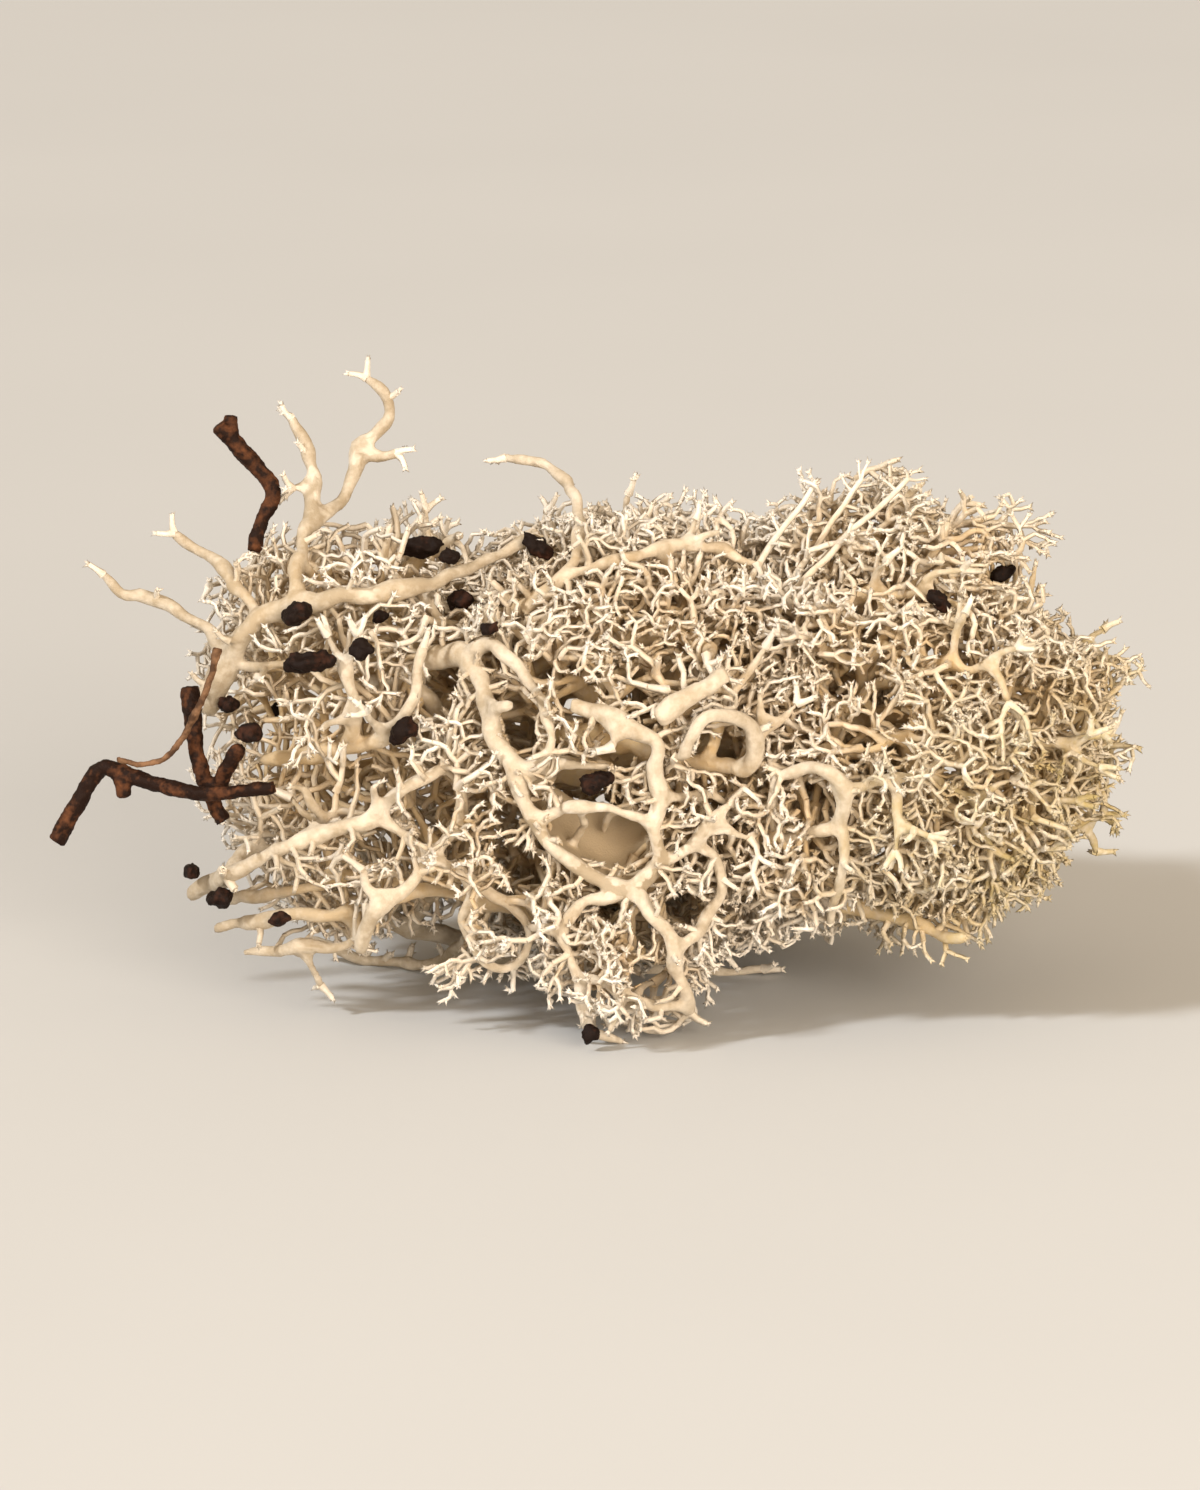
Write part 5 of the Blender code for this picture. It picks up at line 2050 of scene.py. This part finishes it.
@dataclass
class Podetium:
    """One branched stem of lichen, from its thick stems to its finest tips."""

    plan: Plan
    thicket: Thicket
    spray: Spray
    shape: StemShape = StemShape()
    spike_radius: Span = (0.10, 0.15)
    spike_depth: float = 2.2
    whorl: tuple[int, ...] = (3, 4, 4, 5)
    # Webs show less of the depth brown, which is partly painted shade.
    web_browned: float = 0.3

    def _thick_lines(self) -> list[Line]:
        """Draw stems and first shoots as smooth uneven lines, webbed at forks.

        Returns:
            The lines.
        """
        thicket, shape, lines = self.thicket, self.shape, []
        neighbours: dict[int, list[int]] = {}
        for a, b in thicket.links:
            neighbours.setdefault(a, []).append(b)
            neighbours.setdefault(b, []).append(a)
        laid_slimness = {Habit.BARE: shape.bare_stoutness,
                         Habit.WEBBED: shape.web_slimness}.get(self.plan.habit, 1.0)
        is_bare = self.plan.habit in (Habit.BARE, Habit.TRAILING)
        least = shape.bare_age if is_bare else shape.least_age
        for run in thicket.runs:
            if run.owner != self.plan.name:
                continue
            slim = laid_slimness if run.is_laid else shape.slimness
            thickest = thicket.radii[run.numbers[1]]
            radii = [min(thicket.radii[n], thickest) * slim
                     * (shape.fork_swell if len(neighbours[n]) > 2 else 1.0)
                     for n in run.numbers]
            line = Line([thicket.points[n] for n in run.numbers], radii,
                        [max(least, thicket.ages[n]) for n in run.numbers])
            ends = [len(neighbours[n]) == 1 for n in (run.numbers[0], run.numbers[-1])]
            lines.append(self._worn(resampled(line, shape.step), *ends))
        membrane = MEMBRANES.get(self.plan.name)
        if membrane:
            lines += membrane.lines()
        return lines + self._webs(neighbours)

    def _worn(self, line: Line, starts_free: bool, ends_free: bool) -> Line:
        """Make a line wander and uneven, and taper its free ends.

        Args:
            line: the smooth line.
            starts_free: whether nothing joins its first point.
            ends_free: whether nothing goes on from its last point.

        Returns:
            The same line, changed.
        """
        shape = self.shape
        along = [0.0]
        for a, b in zip(line.places, line.places[1:]):
            along.append(along[-1] + (b - a).length)
        for index, place in enumerate(line.places):
            uneven = (1.0 + shape.uneven * noise.noise(place / shape.uneven_cell)
                      + shape.lumps * noise.noise(place / shape.lump_cell))
            left = min(along[index] if starts_free else math.inf,
                       along[-1] - along[index] if ends_free else math.inf)
            taper = shape.end_share + (1.0 - shape.end_share) * min(1.0, left / shape.end_length)
            line.radii[index] *= uneven * taper
            line.places[index] = wandered(place)
        if ends_free:
            end, before = line.places[-1], line.places[-2]
            radius = line.radii[-1]
            line.places.append(end + (end - before).normalized() * radius * shape.round_reach)
            line.radii.append(radius * shape.round_radius)
            line.ages.append(line.ages[-1])
        return line

    def _webs(self, neighbours: dict[int, list[int]]) -> list[Line]:
        """Short lines across the axils, which the skin turns into webs.

        Args:
            neighbours: the points joined to each point.

        Returns:
            The lines.
        """
        thicket, shape, webs = self.thicket, self.shape, []
        for number, joined in neighbours.items():
            if thicket.owners[number] != self.plan.name or len(joined) < 3:
                continue
            fork, age = thicket.points[number], thicket.ages[number]
            for a in joined:
                for b in (other for other in joined if other > a):
                    first = (thicket.points[a] - fork).normalized()
                    second = (thicket.points[b] - fork).normalized()
                    if first.angle(second) > shape.web_angle:
                        continue
                    radius = min(thicket.radii[n] for n in (number, a, b))
                    reach = radius * shape.web_reach
                    webs.append(Line([fork + first * reach, fork + second * reach],
                                     [radius * shape.web_radius] * 2, [age, age]))
        return webs

    def _tip_mesh(self) -> Mesh:
        """Mark each tip, with its heading and its number of spikes.

        Returns:
            A mesh of loose vertices.
        """
        tips = [tip for tip in self.spray.tips[self.plan.name]
                if outline_depth(tip.place) < self.spike_depth]
        rng = random.Random(self.plan.name)
        least, most = self.spike_radius
        mesh = bpy.data.meshes.new(self.plan.name + "_tips")
        mesh.from_pydata([tuple(in_frame(tip.place)) for tip in tips], [], [])
        set_values(mesh, THICKNESS, [min(most, max(least, tip.radius)) * MM for tip in tips])
        set_colouring(mesh, [tip.place for tip in tips], [tip.age for tip in tips])
        set_values(mesh, COUNT, [rng.choice(self.whorl) for _ in tips], "INT")
        set_values(mesh, HEADING, [c for tip in tips for c in tip.heading], "FLOAT_VECTOR")
        return mesh

    def build(self, tree: BranchTree, finish: Material) -> Item:
        """Build the podetium's one mesh.

        Args:
            tree: the geometry nodes for fine branches.
            finish: the lichen material.

        Returns:
            The piece.
        """
        name = self.plan.name
        # Depth brown, partly painted shade, shows less on the webs.
        browned = self.web_browned if self.plan.habit is Habit.WEBBED else 1.0
        skin = BranchSkin(name, self._thick_lines(), browned).build()
        fine = lines_mesh(name + "_lines", self.spray.lines[name])
        mesh = tree.apply(name, fine, skin, self._tip_mesh(), finish)
        rest_on_table(mesh)
        return place_piece(name + "_spray", mesh, finish, name)


@dataclass(frozen=True)
class BarkSizes:
    """How bark is roughened, in millimetres."""

    voxel: float = 0.12
    smoothing: int = 2
    lump: float = 0.09
    lump_cell: float = 0.7
    ridge: float = 0.05
    ridge_cell: float = 0.22


def roughened(mesh: Mesh, sizes: BarkSizes) -> Mesh:
    """Draw an even surface over a mesh and raise lumps and ridges on it.

    Args:
        mesh: a closed mesh in metres.
        sizes: the grain of the surface and of its lumps.

    Returns:
        The new mesh; the old one is removed.
    """
    even = even_surface(mesh, sizes.voxel, sizes.smoothing)
    normals = [vertex.normal.copy() for vertex in even.vertices]
    for vertex, normal in zip(even.vertices, normals):
        place = vertex.co / MM
        out = (sizes.lump * noise.noise(place / sizes.lump_cell)
               + sizes.ridge * noise.noise(place / sizes.ridge_cell))
        vertex.co += normal * out * MM
    even.shade_smooth()
    return even


@dataclass
class Twig:
    """A dead heather twig or rootlet, with knots along it."""

    plan: Plan
    thicket: Thicket
    sizes: BarkSizes = BarkSizes()
    knot: float = 0.2
    knot_rate: float = 0.9
    step: float = 0.4
    taper: float = 0.25
    stoutness: float = 1.1
    root_stoutness: float = 0.9

    def _lines(self) -> list[Line]:
        """Draw the twig's stretches, swollen at its knots.

        Returns:
            A line for each stretch.
        """
        stout = self.root_stoutness if self.plan.name == ROOTLET else self.stoutness
        lines = []
        for run in self.thicket.runs:
            if run.owner != self.plan.name:
                continue
            places = catmull([self.thicket.points[n] for n in run.numbers], self.step)
            radii = [self.plan.radius * stout * (1.0 - self.taper * (index / len(places)))
                     * (1.0 + self.knot * noise.noise(place * self.knot_rate))
                     for index, place in enumerate(places)]
            lines.append(Line(places, radii, [1.0] * len(places)))
        return lines

    def build(self, finish: Material) -> Item:
        """Build the twig's mesh.

        Args:
            finish: the bark material.

        Returns:
            The piece.
        """
        name = self.plan.name
        mesh = roughened(BranchSkin(name, self._lines()).tubes(), self.sizes)
        return place_piece(name + "_bark", mesh, finish, name)


@dataclass
class Fallen:
    """A loose crumb of bark or length of stem, roughened over its solid."""

    name: str
    slot: str
    sizes: BarkSizes = BarkSizes()

    def build(self, solid: Item, finish: Material,
              tint: tuple[float, ...] = (0.0, 0.0, 0.0)) -> Item:
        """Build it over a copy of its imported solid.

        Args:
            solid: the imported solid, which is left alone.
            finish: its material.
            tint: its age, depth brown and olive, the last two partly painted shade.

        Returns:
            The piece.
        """
        work = bmesh.new()
        work.from_mesh(solid.data)
        bmesh.ops.remove_doubles(work, verts=work.verts, dist=SAME_PLACE)
        bmesh.ops.recalc_face_normals(work, faces=work.faces)
        mesh = bpy.data.meshes.new(self.name + "_copy")
        work.to_mesh(mesh)
        work.free()
        mesh = roughened(mesh, self.sizes)
        for key, value in zip((AGE, DEEP, OLIVE_AND_SHADE), tint):
            set_values(mesh, key, [value] * len(mesh.vertices))
        return place_piece(self.name + "_piece", mesh, finish, self.name)


def crumb_solids() -> list[tuple[str, Item]]:
    """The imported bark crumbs, by name."""
    return [(name, solid) for name, solid in sorted(frame["nodes"].items())
            if name.endswith("_bark_crumb")]


def crumb_openings(clear: float = 0.2) -> tuple[Opening, ...]:
    """Windows in front of the crumbs, which lie open to view.

    Args:
        clear: how much wider than its crumb a window is, in millimetres.

    Returns:
        A window for each crumb.
    """
    made = []
    for _, solid in crumb_solids():
        corners = [corner.co / MM + MIDDLE for corner in solid.data.vertices]
        across = [corner.x for corner in corners]
        heights = [height_in_view(corner) for corner in corners]
        back = sum(corner.y for corner in corners) / len(corners)
        (left, right), (low, high) = ((min(side), max(side)) for side in (across, heights))
        made.append(Opening((left + right) / 2, (low + high) / 2, (right - left) / 2 + clear,
                            (high - low) / 2 + clear, 0.0, back))
    return tuple(made)


CRUMB_SIZES = BarkSizes(voxel=0.11, smoothing=2, lump=0.22, lump_cell=0.55, ridge=0.09)
STEM_END_SIZES = BarkSizes(voxel=0.12, smoothing=12, lump=0.2, lump_cell=1.0, ridge=0.03)
STEM_TINT = (0.8, 0.1, 0.0)     # the broken stem's age, depth brown and olive; the last two are partly painted shade


@dataclass
class Clump:
    """The whole clump: every podetium, twig, crumb and broken stem."""

    podetia: tuple[Plan, ...] = PODETIUM_PLANS
    twigs: tuple[Plan, ...] = TWIG_PLANS
    thicket: Thicket = field(default_factory=Thicket)
    spray: Spray = field(init=False)

    def grow(self) -> None:
        """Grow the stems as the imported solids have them, then the fine parts."""
        rng = random.Random(GROWTH_SEED)
        noise.seed_set(FINE_SEED)
        shoots = []
        for plan in self.twigs:
            self.thicket.lay(plan)
        for plan in self.podetia:
            shoots += self.thicket.lay(plan)
        stiff = {plan.name for plan in self.twigs}
        self.thicket.settle(stiff)
        for _ in range(self.thicket.rules.fork_rounds):
            rng.shuffle(shoots)
            shoots = [new for shoot in shoots for new in self.thicket.fork(rng, shoot)]
        self.thicket.lean_together(stiff)
        self.spray = Spray(self.thicket, OPENINGS + crumb_openings())
        self.spray.grow({plan.name: plan.habit for plan in self.podetia})

    def build(self) -> list[Item]:
        """Build and dress every piece.

        Returns:
            The pieces.
        """
        felt = FeltGroup()
        felt.build()
        lichen = LichenFinish().make(felt)
        bark, rootlet, crumb = (kind.make(felt) for kind in (TWIG_BARK, ROOT_BARK, CRUMB_BARK))
        tree = BranchTree()
        tree.build()
        pieces = [Podetium(plan, self.thicket, self.spray).build(tree, lichen)
                  for plan in self.podetia]
        for plan in self.twigs:
            finish = rootlet if plan.name == ROOTLET else bark
            pieces.append(Twig(plan, self.thicket).build(finish))
        for name, solid in crumb_solids():
            pieces.append(Fallen(name, BARK_SLOT, CRUMB_SIZES).build(solid, crumb))
        stem = Fallen(BROKEN_STEM, LICHEN_SLOT, STEM_END_SIZES)
        pieces.append(stem.build(frame["nodes"][BROKEN_STEM], lichen, STEM_TINT))
        return pieces


# ---- Floor, light and camera ----

@dataclass
class Studio:
    """A pale table, a soft window light from the left, and the camera.

    Lengths are in metres, but the size of the table's clouding and the lens are
    in millimetres.
    """

    table_size: float = 1.6
    table_colour: Colour = (0.555, 0.572, 0.59)
    table_roughness: float = 0.7
    cloud_size: float = 60.0
    cloud_detail: float = 2.0
    cloud_shade: float = 0.965
    cloud_range: Span = (0.2, 0.8)
    target: Point = (0.0007, -0.0009, 0.0135)
    elevation: float = math.radians(13.0)
    distance: float = 0.535
    lens: float = 230.0
    key_from: Point = (-0.62, -0.36, 0.54)
    key_softness: float = math.radians(7.0)
    key_strength: float = 2.7
    key_colour: Colour = (1.0, 0.995, 0.98)
    fill_from: Point = (0.30, -0.74, 0.20)
    fill_size: float = 0.5
    fill_power: float = 9.5
    fill_colour: Colour = (1.0, 0.865, 0.71)
    sky: Colour = (1.0, 0.80, 0.575)
    sky_strength: float = 0.64

    def _table(self) -> None:
        """The pale table, faintly clouded."""
        half = self.table_size / 2
        mesh = bpy.data.meshes.new("table")
        mesh.from_pydata([(-half, -half, 0.0), (half, -half, 0.0),
                          (half, half, 0.0), (-half, half, 0.0)], [], [(0, 1, 2, 3)])
        material, make, shader = new_material("pale_table")
        coords = make.add("ShaderNodeTexCoord").outputs["Object"]
        cloud = make.noise(coords, self.cloud_size, self.cloud_detail)
        shade = tuple(c * self.cloud_shade for c in self.table_colour)
        colour = make.blend(make.spread(cloud, *self.cloud_range), self.table_colour, shade)
        make.finish(shader, colour, self.table_roughness)
        mesh.materials.append(material)
        linked("table", mesh)

    def _light(self, name: str, kind: str, place: Point, **settings: Value) -> None:
        """Hang a light and aim it at the clump.

        Args:
            name: the light's name.
            kind: its kind.
            place: where it stands.
            settings: its power, colour and size.
        """
        lamp = bpy.data.lights.new(name, kind)
        for key, value in settings.items():
            setattr(lamp, key, value)
        holder = linked(name, lamp)
        holder.location = place
        aim = Vector(self.target) - Vector(place)
        holder.rotation_euler = aim.to_track_quat("-Z", "Y").to_euler()

    def _lights(self) -> None:
        """Low light from a window at the left, and a broad warm fill."""
        self._light("window", "SUN", self.key_from, angle=self.key_softness,
                    energy=self.key_strength, color=self.key_colour)
        self._light("front_fill", "AREA", self.fill_from, size=self.fill_size,
                    energy=self.fill_power, color=self.fill_colour)

    def _camera(self) -> None:
        """The camera, straight in front and a little above."""
        camera = bpy.data.cameras.new("camera")
        camera.lens = self.lens
        camera.sensor_width = 36.0
        camera.clip_start = 0.01
        camera.clip_end = 10.0
        holder = linked("camera", camera)
        away = Vector((0.0, -math.cos(self.elevation), math.sin(self.elevation)))
        holder.location = Vector(self.target) + away * self.distance
        holder.rotation_euler = (-away).to_track_quat("-Z", "Y").to_euler()
        bpy.context.scene.camera = holder

    def build(self) -> None:
        """Set up the table, the lights and the camera."""
        self._table()
        self._lights()
        world = bpy.data.worlds.new("soft_room")
        world.use_nodes = True
        back = world.node_tree.nodes["Background"]
        back.inputs["Color"].default_value = (*self.sky, 1.0)
        back.inputs["Strength"].default_value = self.sky_strength
        bpy.context.scene.world = world
        bpy.context.scene.view_settings.view_transform = "Standard"
        self._camera()


def main() -> None:
    """Build the clump and its studio, and report each piece."""
    logging.basicConfig(level=logging.INFO, format="%(message)s")
    clump = Clump()
    clump.grow()
    clump.build()
    Studio().build()


if __name__ == "__main__":
    main()
